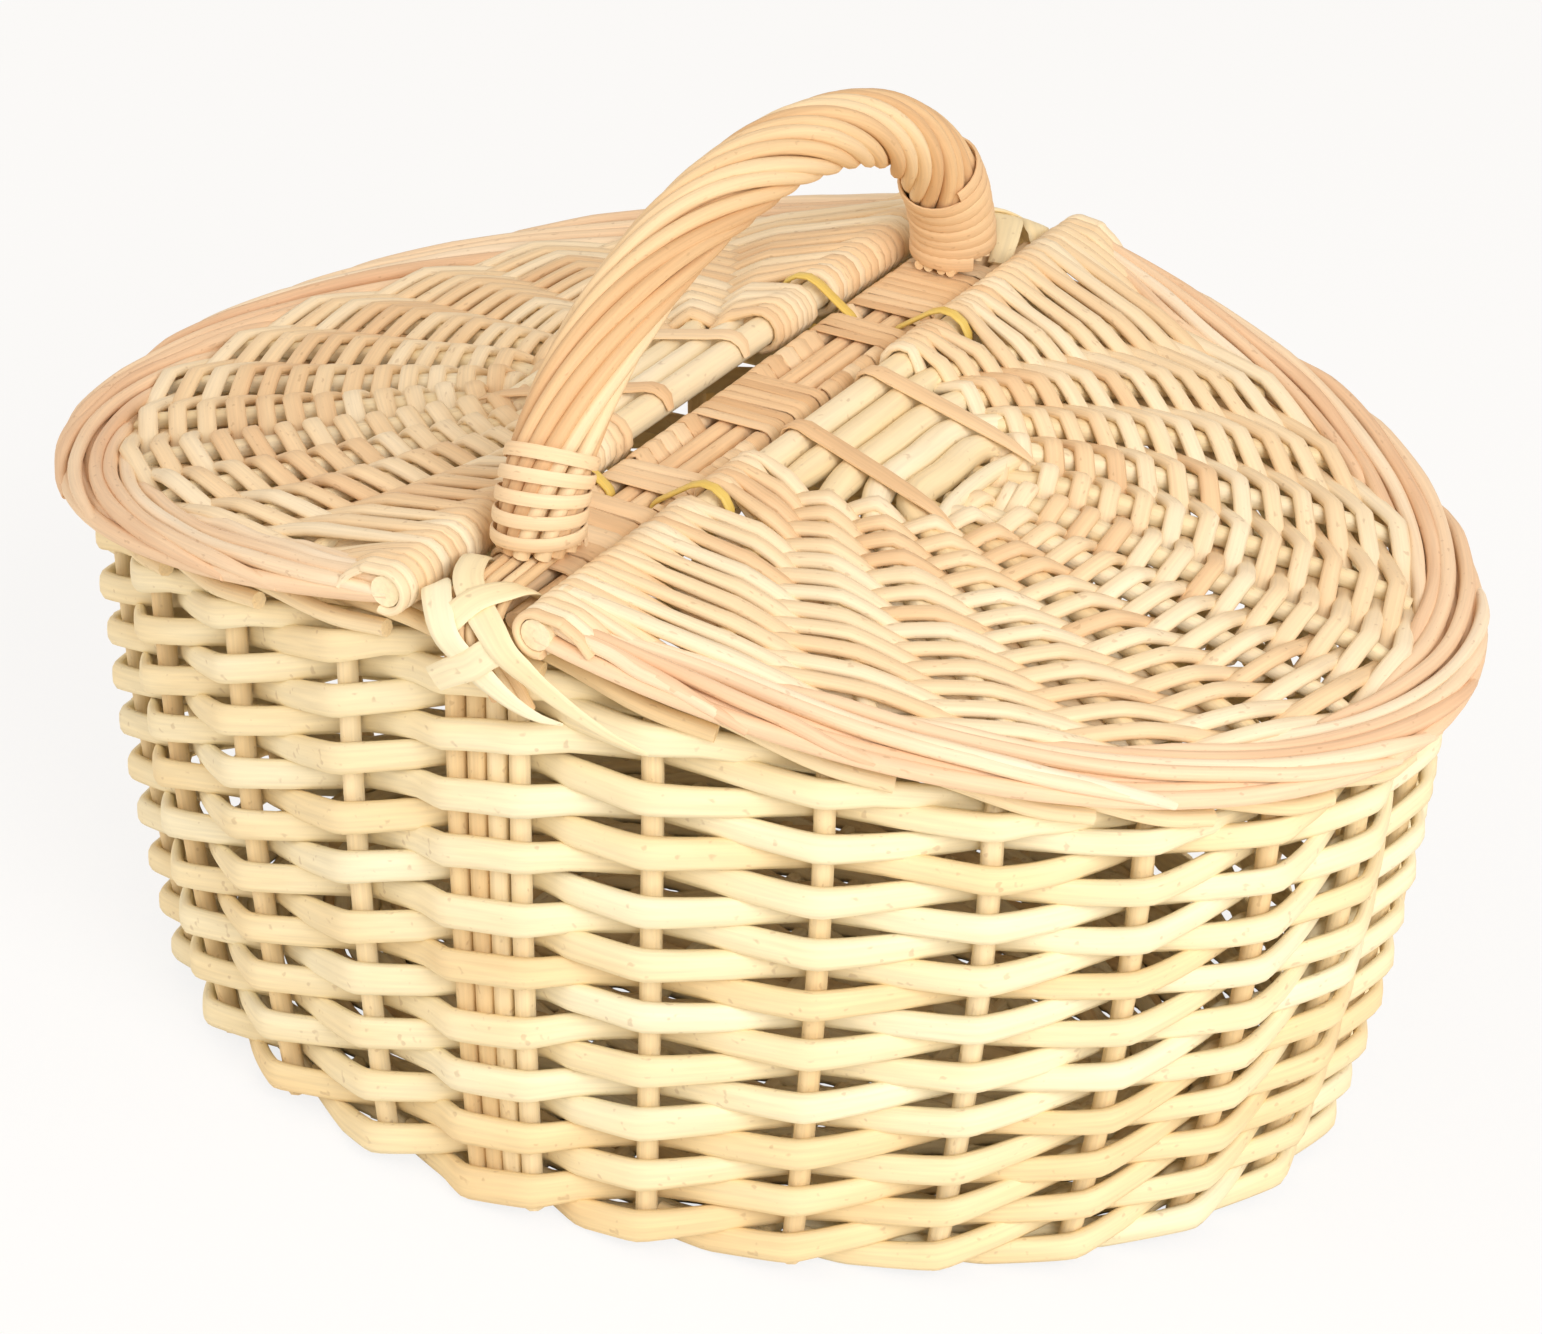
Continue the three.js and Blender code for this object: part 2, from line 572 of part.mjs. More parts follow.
// A cane loop drawn tight round the bridge's outer stick and, with play, round the lid's bar.
function makeTie() {
  const bar = { x: HINGE_X, z: hingeZ, r: LID_BAR_RADIUS + SEAT_GAP };
  const stick = { x: BRIDGE_OUTER_X, z: bridgeZ, r: BRIDGE_STICK_RADIUS + SEAT_GAP };
  const loop = (Path, extra) => {
    const apart = Math.hypot(bar.x - stick.x, bar.z - stick.z);
    const lean = Math.atan2(bar.z - stick.z, bar.x - stick.x);
    const open = Math.acos((stick.r - bar.r) / apart);
    const points = [];
    for (const [end, from, sweep] of [[bar, -open, 2 * open], [stick, open, 2 * (Math.PI - open)]]) {
      for (let i = 0; i <= TIE_ARC_STEPS; i++) {
        const angle = lean + from + (sweep * i) / TIE_ARC_STEPS;
        const reach = (end.r + extra) / Math.cos(sweep / TIE_ARC_STEPS / 2);
        points.push(new THREE.Vector2(end.x + reach * Math.cos(angle), end.z + reach * Math.sin(angle)));
      }
    }
    return new Path(points);
  };
  const ring = loop(THREE.Shape, TIE_THICKNESS);
  ring.holes.push(loop(THREE.Path, 0));
  const tie = new THREE.ExtrudeGeometry(ring, { depth: TIE_WIDTH, bevelEnabled: false });
  return tie.translate(0, 0, -TIE_WIDTH / 2).rotateX(Math.PI / 2);
}

addLid('right', 0);
addLid('left', Math.PI);

// Splints over each end of the bridge, tucked down outside the weave; the handle stands on them
const splintZ = bridgeTop + SEAT_GAP + SPLINT_HALF_DEPTH;
const outsideY = RIM_HALF_Y + weaverOffset + WEAVER_THICKNESS / 2 + SEAT_GAP;
const shoulderY = Math.max(outsideY, RIM_HALF_Y + BORDER_HALF_WIDTH + SEAT_GAP) + SPLINT_HALF_DEPTH;

// The middle line of the splints in the plane of the handle, from under the collar outwards.
const shoulder = new THREE.CatmullRomCurve3([
  new THREE.Vector3(0, -HANDLE_HALF_SPAN + HANDLE_RADIUS, splintZ),
  new THREE.Vector3(0, -HANDLE_HALF_SPAN - HANDLE_RADIUS, splintZ),
  new THREE.Vector3(0, -bridgeHalfLength, splintZ),
  new THREE.Vector3(0, -shoulderY - SPLINT_BELLY, splintZ - SPLINT_BEND_DROP),
  new THREE.Vector3(0, -shoulderY - SPLINT_BELLY, splintZ - SPLINT_DROP / 2),
  new THREE.Vector3(0, -shoulderY, splintZ - SPLINT_DROP),
], false, 'catmullrom');

const acrossX = new THREE.Vector3(1, 0, 0);

function shoulderNormal(share) {
  const along = shoulder.getTangent(share);
  return new THREE.Vector3().crossVectors(along, acrossX).normalize();
}

function makeSplint(x) {
  const profile = outline(4, SPLINT_HALF_WIDTH, SPLINT_HALF_DEPTH, true);
  const rings = [];
  for (let i = 0; i <= SPLINT_STEPS; i++) {
    const centre = shoulder.getPoint(i / SPLINT_STEPS).add(new THREE.Vector3(x, 0, 0));
    rings.push(ringAt(centre, acrossX, shoulderNormal(i / SPLINT_STEPS), profile));
  }
  return loft(rings);
}

// Two flat splints that cross over the shoulder and run down to the weave on either side.
function makeLashing() {
  const lift = SPLINT_HALF_DEPTH + SEAT_GAP + LASHING_HALF_DEPTH;
  const settle = -SPLINT_HALF_DEPTH - SEAT_GAP / 2;
  const profile = outline(4, LASHING_HALF_WIDTH, LASHING_HALF_DEPTH, true);
  const strap = (side) => {
    const rings = [];
    for (let i = 0; i <= LASHING_STEPS; i++) {
      const share = THREE.MathUtils.lerp(LASHING_FIRST_SHARE, LASHING_LAST_SHARE, i / LASHING_STEPS);
      const spread = THREE.MathUtils.lerp(-BRIDGE_OUTER_X, LASHING_SPREAD, i / LASHING_STEPS);
      const drop = THREE.MathUtils.smoothstep(spread, LASHING_CLEAR_X, LASHING_SPREAD);
      const centre = shoulder.getPoint(share).addScaledVector(shoulderNormal(share), lift + drop * settle);
      centre.x = side * spread;
      rings.push(ringAt(centre, acrossX, shoulderNormal(share), profile));
    }
    return loft(rings);
  };
  return join([strap(1), strap(-1)]);
}

// Handle: a roped arch, with a collar of wound skein at each foot
const handleFoot = splintZ + SPLINT_HALF_DEPTH + SEAT_GAP;

// The arch's middle and its two cross directions, a share of the way from the front foot to the back.
function archAt(share) {
  const t = Math.PI * share;
  const centre = new THREE.Vector3(0, -HANDLE_HALF_SPAN * Math.cos(t), handleFoot + HANDLE_RISE * Math.sin(t));
  const along = new THREE.Vector3(0, HANDLE_HALF_SPAN * Math.sin(t), HANDLE_RISE * Math.cos(t)).normalize();
  return { centre, along, out: new THREE.Vector3().crossVectors(along, acrossX) };
}

function makeGrip() {
  const rings = [];
  for (let i = 0; i <= HANDLE_STEPS; i++) {
    const { centre, out } = archAt(i / HANDLE_STEPS);
    const twist = (2 * Math.PI * HANDLE_TURNS * i) / HANDLE_STEPS;
    const profile = Array.from({ length: 2 * HANDLE_STRANDS }, (_, j) => {
      const radius = j % 2 ? HANDLE_RADIUS - HANDLE_GROOVE : HANDLE_RADIUS;
      const angle = (j * Math.PI) / HANDLE_STRANDS + twist;
      return [radius * Math.cos(angle), radius * Math.sin(angle)];
    });
    rings.push(ringAt(centre, acrossX, out, profile));
  }
  return loft(rings);
}

// Skein wound round the foot of the arch, with a groove between the turns.
function makeCollar() {
  const bore = HANDLE_RADIUS + SEAT_GAP;
  const outer = bore + COLLAR_WALL;
  const ring = (share, radius, shift = 0) => {
    const { centre, along, out } = archAt(share);
    return ringAt(centre.addScaledVector(along, shift), acrossX, out, outline(COLLAR_SIDES, radius, radius, true));
  };
  const skin = [];
  for (let i = 0; i <= 2 * COLLAR_TURNS; i++) {
    const share = (COLLAR_STEPS / HANDLE_STEPS) * (i / (2 * COLLAR_TURNS));
    skin.push(ring(share, i % 2 ? outer : outer - COLLAR_GROOVE));
  }
  const hole = [ring(0, bore, -COLLAR_WALL)];
  for (let i = 0; i <= COLLAR_STEPS; i++) hole.push(ring(i / HANDLE_STEPS, bore));
  hole.push(ring(COLLAR_STEPS / HANDLE_STEPS, bore, COLLAR_WALL));
  return join([loft(skin)], [loft(hole)]);
}

addMesh(basket, 'handle_grip', makeGrip(), WILLOW_HANDLE);
[['front', 0], ['back', Math.PI]].forEach(([end, turn]) => {
  const foot = new THREE.Group();
  foot.rotation.z = turn;
  basket.add(foot);
  addMesh(foot, `handle_collar_${end}`, makeCollar(), WILLOW_SKEIN);
  addMesh(foot, `handle_lashing_${end}`, makeLashing(), WILLOW_SIDE);
  for (let i = 0; i < SPLINTS; i++) {
    const x = (i - (SPLINTS - 1) / 2) * SPLINT_PITCH;
    addMesh(foot, `handle_splint_${end}_${i + 1}`, makeSplint(x), WILLOW_HANDLE);
  }
});

export default basket;
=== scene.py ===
# Oval willow picnic basket: a randed side, two woven lids on a wrapped bridge and a roped handle.
# Lengths are worked out in millimetres, in the same frame as the solids, and made metres in grow().
import math

import bpy
import numpy as np
from mathutils import Matrix


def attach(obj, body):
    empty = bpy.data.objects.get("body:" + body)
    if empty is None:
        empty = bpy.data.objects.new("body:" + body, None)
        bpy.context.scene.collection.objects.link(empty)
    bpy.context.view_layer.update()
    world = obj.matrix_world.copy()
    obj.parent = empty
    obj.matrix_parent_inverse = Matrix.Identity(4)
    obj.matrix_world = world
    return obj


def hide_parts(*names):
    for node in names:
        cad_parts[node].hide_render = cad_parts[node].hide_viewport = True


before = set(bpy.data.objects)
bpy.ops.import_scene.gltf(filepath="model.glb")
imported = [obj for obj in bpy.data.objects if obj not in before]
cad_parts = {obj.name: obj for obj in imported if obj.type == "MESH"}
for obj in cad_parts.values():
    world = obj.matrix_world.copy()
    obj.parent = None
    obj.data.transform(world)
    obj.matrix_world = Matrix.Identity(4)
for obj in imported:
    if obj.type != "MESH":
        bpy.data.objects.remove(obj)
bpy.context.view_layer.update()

MM = 0.001

# The wall: an oval that flares from foot to rim, as in the solids
FOOT_HALF_X, FOOT_HALF_Y = 166, 124
RIM_HALF_X, RIM_HALF_Y = 190, 132
WEAVE_TOP_END, WEAVE_TOP_SIDE = 128, 163
RIM_ROUNDING = 0.15
STAKES = 26
HANDLE_STAKES = (0, STAKES // 2)
STAKE_STEP = 2 * math.pi / STAKES
HANDLE_UPRIGHTS_X = (-10.2, -3.7, 2.2, 8.6)
CROSSINGS = 18
FIRST_ROW = 8.5
STAKE_RADIUS = 2.9
WEAVER_REACH = 5.6
WEAVER_FLATNESS = 0.52
BORDER_HALF_HEIGHT = 4.4
BORDER_GAP = 1.4

# The bridge, the lids and the handle, in the places of the solids
BRIDGE_Z = 180.79
BRIDGE_STICK_RADIUS = 2.5
BRIDGE_OUTER_X = 9.8
BRIDGE_STICKS_X = (-BRIDGE_OUTER_X, -2.8, 2.8, BRIDGE_OUTER_X)
BRIDGE_HALF_LENGTH = 136
HINGE_X, HINGE_Z = 22, 184.391
LID_SLOPE = math.radians(12)
LID_BAR_RADIUS = 4.2
LID_EYE = (58, 40)
LID_PANEL = (165, 125)
LID_BORDER = (176, 136)
LID_ROWS = 24
LID_RIBS = 12
RIB_FAN = 1.25
ROW_HALF_WIDTH = 2.6
ROW_REACH = 4.3
TIE_Y = 64
TIE_WIDTH = 3.5
TIE_ROOM, TIE_ROOM_REACH = 4.6, 9
SPLINT_Z = 186.49
SHOULDER_Y = 144.24
HANDLE_FOOT = 188.39
HANDLE_HALF_SPAN, HANDLE_RISE, HANDLE_RADIUS = 109, 64, 10.8

# The rows' ends round the lid's bar: where the roll ends, its lift off the bar and its turn in degrees
ROLL_END_Y = 130.5
ROLL_LIFT, CORNER_LIFT = 1.6, 1.3
ROLL_TURN = (300, 270, 235, 200, 170, 140, 110)
BAR_HALF_LENGTH = ROLL_END_Y + 15

BUD_BROWN = "#95683c"
SHARP_EDGE = math.radians(62)


def node(tree, kind, links=None, **settings):
    """Adds a node with its settings; links gives each input a value or the socket that feeds it."""
    made = tree.nodes.new(kind)
    for key, value in settings.items():
        setattr(made, key, value)
    for key, value in (links or {}).items():
        if isinstance(value, bpy.types.NodeSocket):
            tree.links.new(value, made.inputs[key])
        else:
            made.inputs[key].default_value = value
    return made


def maths(tree, operation, *values):
    """The result of a maths node on the given values."""
    return node(tree, "ShaderNodeMath", dict(enumerate(values)), operation=operation).outputs[0]


def ranged(tree, value, wanted, given=(0.0, 1.0)):
    """A value of the given range, taken to the wanted range."""
    ends = {"From Min": given[0], "From Max": given[1], "To Min": wanted[0], "To Max": wanted[1]}
    return node(tree, "ShaderNodeMapRange", {"Value": value, **ends}).outputs[0]


def mixed(tree, share, first, second):
    """A colour that goes from the first to the second."""
    inputs = {"Factor": share, "A": first, "B": second}
    return node(tree, "ShaderNodeMix", inputs, data_type="VECTOR").outputs["Result"]


def linear(hex_colour):
    """An sRGB hex colour as the linear colour that a shader takes."""
    parts = [int(hex_colour[i:i + 2], 16) / 255 for i in (1, 3, 5)]
    return [p / 12.92 if p <= 0.04045 else ((p + 0.055) / 1.055) ** 2.4 for p in parts] + [1]


# Finishes
def willow(name, tones, fibre_mm=28, speck_share=0.26, roughness=(0.5, 0.72)):
    """Peeled willow, smooth and without bark. Each rod has a tone of its own that drifts slowly along it,
    fine lengthwise fibres, and small brown flecks where the buds were."""
    material = bpy.data.materials.new(name)
    material.use_nodes = True
    tree = material.node_tree
    tree.nodes.clear()
    along = node(tree, "ShaderNodeAttribute", attribute_name="along").outputs["Fac"]
    ring = node(tree, "ShaderNodeAttribute", attribute_name="ring").outputs["Vector"]
    tint = node(tree, "ShaderNodeAttribute", attribute_name="tint").outputs["Fac"]

    def pattern(length_mm, around, jump, detail):
        """Noise that runs length_mm along the rod, with its own start on each rod."""
        steps = maths(tree, "MULTIPLY", along, 1 / length_mm)
        start = maths(tree, "MULTIPLY_ADD", tint, jump, steps)
        lengthwise = node(tree, "ShaderNodeCombineXYZ", {"Z": start}).outputs[0]
        place = node(tree, "ShaderNodeVectorMath", {0: ring, 1: (around,) * 3, 2: lengthwise},
                     operation="MULTIPLY_ADD").outputs[0]
        noise = node(tree, "ShaderNodeTexNoise", {"Vector": place, "Scale": 1.0, "Detail": detail})
        return noise.outputs["Fac"]

    fibres = pattern(fibre_mm, around=3.2, jump=971, detail=4)
    blotches = pattern(length_mm=55, around=0.35, jump=373, detail=2)
    specks = pattern(length_mm=2.8, around=1.5, jump=619, detail=1)

    tone = maths(tree, "MULTIPLY_ADD", blotches, 0.9, tint)
    centred = maths(tree, "ADD", tone, -0.45)
    ramp = node(tree, "ShaderNodeValToRGB", {"Fac": centred})
    stops = ramp.color_ramp.elements
    while len(stops) < len(tones):
        stops.new(0.5)
    for stop, (i, colour) in zip(stops, enumerate(tones)):
        stop.position = i / (len(tones) - 1)
        stop.color = linear(colour)
    grain = ranged(tree, fibres, wanted=(0.9, 1.03), given=(0.3, 0.65))
    grained = node(tree, "ShaderNodeVectorMath", {0: ramp.outputs["Color"], "Scale": grain},
                   operation="SCALE").outputs[0]
    fleck = ranged(tree, specks, wanted=(0.0, speck_share), given=(0.68, 0.76))
    colour = mixed(tree, fleck, grained, linear(BUD_BROWN)[:3])
    rough = ranged(tree, fibres, wanted=roughness)
    bump = node(tree, "ShaderNodeBump", {"Height": fibres, "Strength": 0.22, "Distance": 0.0004}).outputs[0]
    surface = {"Base Color": colour, "Roughness": rough, "Normal": bump, "IOR": 1.45}
    shader = node(tree, "ShaderNodeBsdfPrincipled", surface).outputs[0]
    node(tree, "ShaderNodeOutputMaterial", {"Surface": shader})
    return material


SIDE_WILLOW = willow("peeled_willow_side", ("#ebcc9a", "#f3ddae", "#f7e8c0", "#f9f0d0"))
STAKE_WILLOW = willow("peeled_willow_stakes", ("#e6c594", "#f2d9aa", "#f8e6bf"))
LID_WILLOW = willow("buff_willow_lid", ("#e4be93", "#f0d2a8", "#f5deb8", "#f9e9ca"))
PLAIT_WILLOW = willow("buff_willow_plait", ("#e6bf9a", "#f1d2af", "#f6dfbf", "#f9e9d0"))
RIB_WILLOW = willow("peeled_willow_ribs", ("#efd5a5", "#f6e4bc", "#fbf0d4"))
HANDLE_WILLOW = willow("golden_willow_handle", ("#ddb485", "#eecd9f", "#f6deb6"), speck_share=0.2)
SKEIN_WILLOW = willow("split_willow_skein", ("#e0b98c", "#efcea3", "#f7dfba"), fibre_mm=20,
                      roughness=(0.55, 0.75))
CANE = willow("cane_tie", ("#cda647", "#e4c562", "#eed88e"), roughness=(0.4, 0.55), speck_share=0.1)


# Rods and strips
def rod_tree(name, flat):
    """Geometry nodes that turn paths into round rods, or into flat strips that face as the path says."""
    tree = bpy.data.node_groups.new(name, "GeometryNodeTree")
    inputs = {"Paths": "Geometry", "Sides": "Int", "Thickness share": "Float", "Willow": "Material"}
    for label, kind in inputs.items():
        tree.interface.new_socket(label, in_out="INPUT", socket_type="NodeSocket" + kind)
    tree.interface.new_socket("Rods", in_out="OUTPUT", socket_type="NodeSocketGeometry")
    given = node(tree, "NodeGroupInput").outputs
    curve = node(tree, "GeometryNodeMeshToCurve", {"Mesh": given["Paths"]}).outputs[0]
    size = node(tree, "GeometryNodeInputNamedAttribute", {"Name": "rod_radius"}, data_type="FLOAT").outputs[0]
    circle = node(tree, "GeometryNodeCurvePrimitiveCircle", {"Resolution": given["Sides"], "Radius": 1.0})
    if flat:
        face = node(tree, "GeometryNodeInputNamedAttribute", {"Name": "face"}, data_type="FLOAT_VECTOR")
        turned = node(tree, "GeometryNodeSetCurveNormal", mode="FREE")
        tree.links.new(curve, turned.inputs["Curve"])
        tree.links.new(face.outputs[0], turned.inputs["Normal"])
        curve = turned.outputs[0]
    around = node(tree, "GeometryNodeInputPosition").outputs[0]
    ring = {"Geometry": circle.outputs[0], "Name": "ring", "Value": around}
    marked = node(tree, "GeometryNodeStoreNamedAttribute", ring, data_type="FLOAT_VECTOR",
                  domain="POINT").outputs[0]
    if flat:
        # A strip's section is squarer than an oval: each point goes out until its cubed parts add up to one
        apart = node(tree, "ShaderNodeVectorMath", {0: around}, operation="ABSOLUTE").outputs[0]
        square = node(tree, "ShaderNodeVectorMath", {0: apart, 1: apart}, operation="MULTIPLY").outputs[0]
        total = node(tree, "ShaderNodeVectorMath", {0: square, 1: apart}, operation="DOT_PRODUCT")
        reach = maths(tree, "POWER", total.outputs["Value"], -1 / 3)
        place = node(tree, "ShaderNodeVectorMath", {0: around, "Scale": reach}, operation="SCALE").outputs[0]
        marked = node(tree, "GeometryNodeSetPosition", {"Geometry": marked, "Position": place}).outputs[0]
    flattened = node(tree, "ShaderNodeCombineXYZ", {"X": given["Thickness share"], "Y": 1.0, "Z": 1.0})
    shaped = {"Geometry": marked, "Scale": flattened.outputs[0]}
    profile = node(tree, "GeometryNodeTransform", shaped).outputs[0]
    swept = {"Curve": curve, "Profile Curve": profile, "Scale": size, "Fill Caps": True}
    tube = node(tree, "GeometryNodeCurveToMesh", swept).outputs[0]
    smooth = {"Geometry": tube, "Shade Smooth": True}
    soft = node(tree, "GeometryNodeSetShadeSmooth", smooth, domain="FACE").outputs[0]
    angle = node(tree, "GeometryNodeInputMeshEdgeAngle").outputs["Unsigned Angle"]
    cut = node(tree, "FunctionNodeCompare", {0: angle, 1: SHARP_EDGE}, operation="GREATER_THAN").outputs[0]
    sharp = {"Geometry": soft, "Selection": cut, "Shade Smooth": False}
    crisp = node(tree, "GeometryNodeSetShadeSmooth", sharp, domain="EDGE").outputs[0]
    real = node(tree, "GeometryNodeRealizeInstances", {"Geometry": crisp}).outputs[0]
    done = node(tree, "GeometryNodeSetMaterial", {"Geometry": real, "Material": given["Willow"]}).outputs[0]
    node(tree, "NodeGroupOutput", {"Rods": done})
    return tree


ROUND_RODS = rod_tree("round_willow_rods", flat=False)
FLAT_STRIPS = rod_tree("flat_willow_strips", flat=True)


def rod(path, radius, tint, face=(0, 0, 0), closed=False):
    """One rod or strip: its path in mm, its radius or half width, its tone and the way a strip faces."""
    path = np.asarray(path, float)
    radius = np.broadcast_to(np.asarray(radius, float), len(path))
    face = np.broadcast_to(np.asarray(face, float), path.shape)
    return {"path": path, "radius": radius, "tint": tint, "face": face, "closed": closed}


def grow(name, rods, finish, sides=8, flatness=None):
    """Makes one mesh of rods, or of strips where flatness gives their thickness as a share of their width."""
    mesh = bpy.data.meshes.new(name + "_paths")
    ends = np.cumsum([0] + [len(r["path"]) for r in rods])
    edges = []
    lengths = []
    for first, last, r in zip(ends[:-1], ends[1:], rods):
        edges += [(i, i + 1) for i in range(first, last - 1)]
        if r["closed"]:
            edges.append((last - 1, first))
        steps = np.linalg.norm(np.diff(r["path"], axis=0), axis=1)
        lengths.append(np.concatenate([[0], np.cumsum(steps)]))
    mesh.vertices.add(ends[-1])
    mesh.edges.add(len(edges))
    mesh.vertices.foreach_set("co", (np.vstack([r["path"] for r in rods]) * MM).ravel())
    mesh.edges.foreach_set("vertices", np.array(edges).ravel())
    tints = [np.full(len(r["path"]), r["tint"]) for r in rods]
    radii = [r["radius"] * MM for r in rods]
    for label, values in [("along", lengths), ("tint", tints), ("rod_radius", radii)]:
        mesh.attributes.new(label, "FLOAT", "POINT").data.foreach_set("value", np.concatenate(values))
    faces = np.vstack([r["face"] for r in rods]).ravel()
    mesh.attributes.new("face", "FLOAT_VECTOR", "POINT").data.foreach_set("vector", faces)
    holder = bpy.data.objects.new(name + "_paths", mesh)
    bpy.context.scene.collection.objects.link(holder)
    modifier = holder.modifiers.new("rods", "NODES")
    modifier.node_group = ROUND_RODS if flatness is None else FLAT_STRIPS
    values = {"Sides": sides, "Thickness share": flatness or 1.0, "Willow": finish}
    for item in modifier.node_group.interface.items_tree:
        if item.name in values:
            modifier[item.identifier] = values[item.name]
    evaluated = holder.evaluated_get(bpy.context.evaluated_depsgraph_get())
    plain = bpy.data.meshes.new_from_object(evaluated)
    bpy.data.objects.remove(holder)
    plain.name = name
    return plain


def piece(name, parts, body, nodes):
    """One finished object of one or more grown meshes, which rides on a body and stands for its solids."""
    made = bpy.data.objects.new(name, parts[0])
    bpy.context.scene.collection.objects.link(made)
    if len(parts) > 1:
        others = [bpy.data.objects.new(name + "_part", part) for part in parts[1:]]
        for other in others:
            bpy.context.scene.collection.objects.link(other)
        with bpy.context.temp_override(active_object=made, selected_editable_objects=[made] + others):
            bpy.ops.object.join()
    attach(made, body)
    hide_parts(*nodes)


def unit(vectors):
    return vectors / np.linalg.norm(vectors, axis=-1, keepdims=True)


def through(points, steps):
    """A smooth path through the given points, with so many steps from one to the next."""
    p = np.asarray(points, float)
    held = np.vstack([2 * p[0] - p[1], p, 2 * p[-1] - p[-2]])
    t = np.linspace(0, 1, steps, endpoint=False)[:, None]
    spans = []
    for i in range(len(p) - 1):
        a, b, c, d = held[i:i + 4]
        squared = 2 * a - 5 * b + 4 * c - d
        cubed = 3 * b - a - 3 * c + d
        spans.append(0.5 * (2 * b + (c - a) * t + squared * t ** 2 + cubed * t ** 3))
    return np.vstack(spans + [p[-1:]])


def wander(rng, count, reach, every):
    """A slow random drift of the given reach, with a new value about every so many points."""
    knots = rng.normal(0, reach, count // every + 3)
    place = np.linspace(0, len(knots) - 1.001, count)
    i = place.astype(int)
    f = place - i
    f = f * f * (3 - 2 * f)
    return knots[i] * (1 - f) + knots[i + 1] * f


# The side
def stake_angle(i):
    return -math.pi / 2 + np.asarray(i, float) * STAKE_STEP


def wall_normal(angle):
    normal = np.stack([np.cos(angle) / RIM_HALF_X, np.sin(angle) / RIM_HALF_Y, np.zeros_like(angle)], -1)
    return unit(normal)


def wall(angle, z, offset=0.0):
    """A point of the wall at an angle and a height, set out from its middle by the offset."""
    angle, z = np.broadcast_arrays(np.asarray(angle, float), np.asarray(z, float))
    flare = 1 - (1 - np.minimum(z, WEAVE_TOP_SIDE) / WEAVE_TOP_SIDE) ** 2
    a = FOOT_HALF_X + (RIM_HALF_X - FOOT_HALF_X) * flare
    b = FOOT_HALF_Y + (RIM_HALF_Y - FOOT_HALF_Y) * flare
    middle = np.stack([a * np.cos(angle), b * np.sin(angle), z], -1)
    return middle + np.asarray(offset, float)[..., None] * wall_normal(angle)


def weave_top(angle):
    """The height of the weave's top, which falls from beside the handle to the two ends."""
    whole = math.hypot(1, RIM_ROUNDING) - RIM_ROUNDING
    fall = (np.hypot(np.cos(angle), RIM_ROUNDING) - RIM_ROUNDING) / whole
    return WEAVE_TOP_SIDE - (WEAVE_TOP_SIDE - WEAVE_TOP_END) * fall


def row_rise(angle):
    return (weave_top(angle) - FIRST_ROW) / CROSSINGS


def border_z(angle):
    return weave_top(angle) + row_rise(angle) / 2 + BORDER_GAP + BORDER_HALF_HEIGHT


def side_weaver(first, rng):
    """A rod that climbs a row a stake, kinked in front of one and behind the next, with its ends inside."""
    m = np.linspace(-0.95, CROSSINGS + 0.97, 299)
    angle = stake_angle(first + m)
    near = np.round(m)
    gap = m - near
    # It runs straight past the stakes that are doubled for the handle
    doubled = np.isin((first + near) % STAKES, HANDLE_STAKES)
    flat = np.where(doubled, 0.24, 0.0)
    swing = np.maximum(0, np.abs(gap) - flat) * 0.5 / (0.5 - flat)
    kink = 0.035
    side = np.where(near % 2 == 0, 1, -1)
    wave = side * (1 - (np.hypot(swing, kink) - kink) / (math.hypot(0.5, kink) - kink))
    rise = row_rise(angle)
    radius = rise * (0.495 + 0.04 * wave ** 2) * (1 + wander(rng, len(m), 0.035, 18))
    radius *= np.clip((CROSSINGS + 2 - m) / 2.2, 0, 1) ** 0.3
    z = FIRST_ROW + m * rise + wander(rng, len(m), 0.5, 14)
    lowest = radius + 0.2
    highest = border_z(angle) - BORDER_HALF_HEIGHT - radius + 0.6
    z = np.clip(z, lowest, highest)
    offset = WEAVER_REACH * wave + wander(rng, len(m), 0.25, 15)
    path = wall(angle, z, offset)
    face = unit(np.cross(np.gradient(path, axis=0), (0, 0, 1)))
    return rod(path, radius, rng.uniform(0.3, 0.9), face)


def rim_stake(i, rng, turned=True, aside=0.0):
    """A stake through the weave, turned down at the rim: behind the next, over, and out in front."""
    angle = stake_angle(i) + aside
    top = float(border_z(angle))
    heights = np.linspace(1.5, top - 9, 9)
    upright = wall(np.full(len(heights), float(angle)), heights)
    tint = rng.uniform(0.3, 0.95)
    if not turned:
        path = np.vstack([upright, wall(np.array([float(angle)]), np.array([top - 1.5]))])
        return rod(path, STAKE_RADIUS, tint)
    # How many stakes on, how far out of the wall and how far above the border's middle
    turn = [(0.06, -1.5, -4.0), (0.4, -5.0, -2.2), (0.95, -6.0, -1.4), (1.45, -4.6, 2.0), (2.0, 0.0, 2.2),
            (2.5, 3.8, 1.8), (3.0, 6.0, -1.2), (3.4, 5.4, -2.2)]
    stage, offset, lift = np.array(turn).T
    turned_angle = stake_angle(i + stage) + aside
    border = wall(turned_angle, border_z(turned_angle) + lift, offset)
    path = through(np.vstack([upright, border]), 5)
    taper = [STAKE_RADIUS, STAKE_RADIUS, 2.75, 2.4]
    radius = np.interp(np.linspace(0, 1, len(path)), [0, 0.45, 0.55, 1], taper)
    return rod(path, radius, tint)


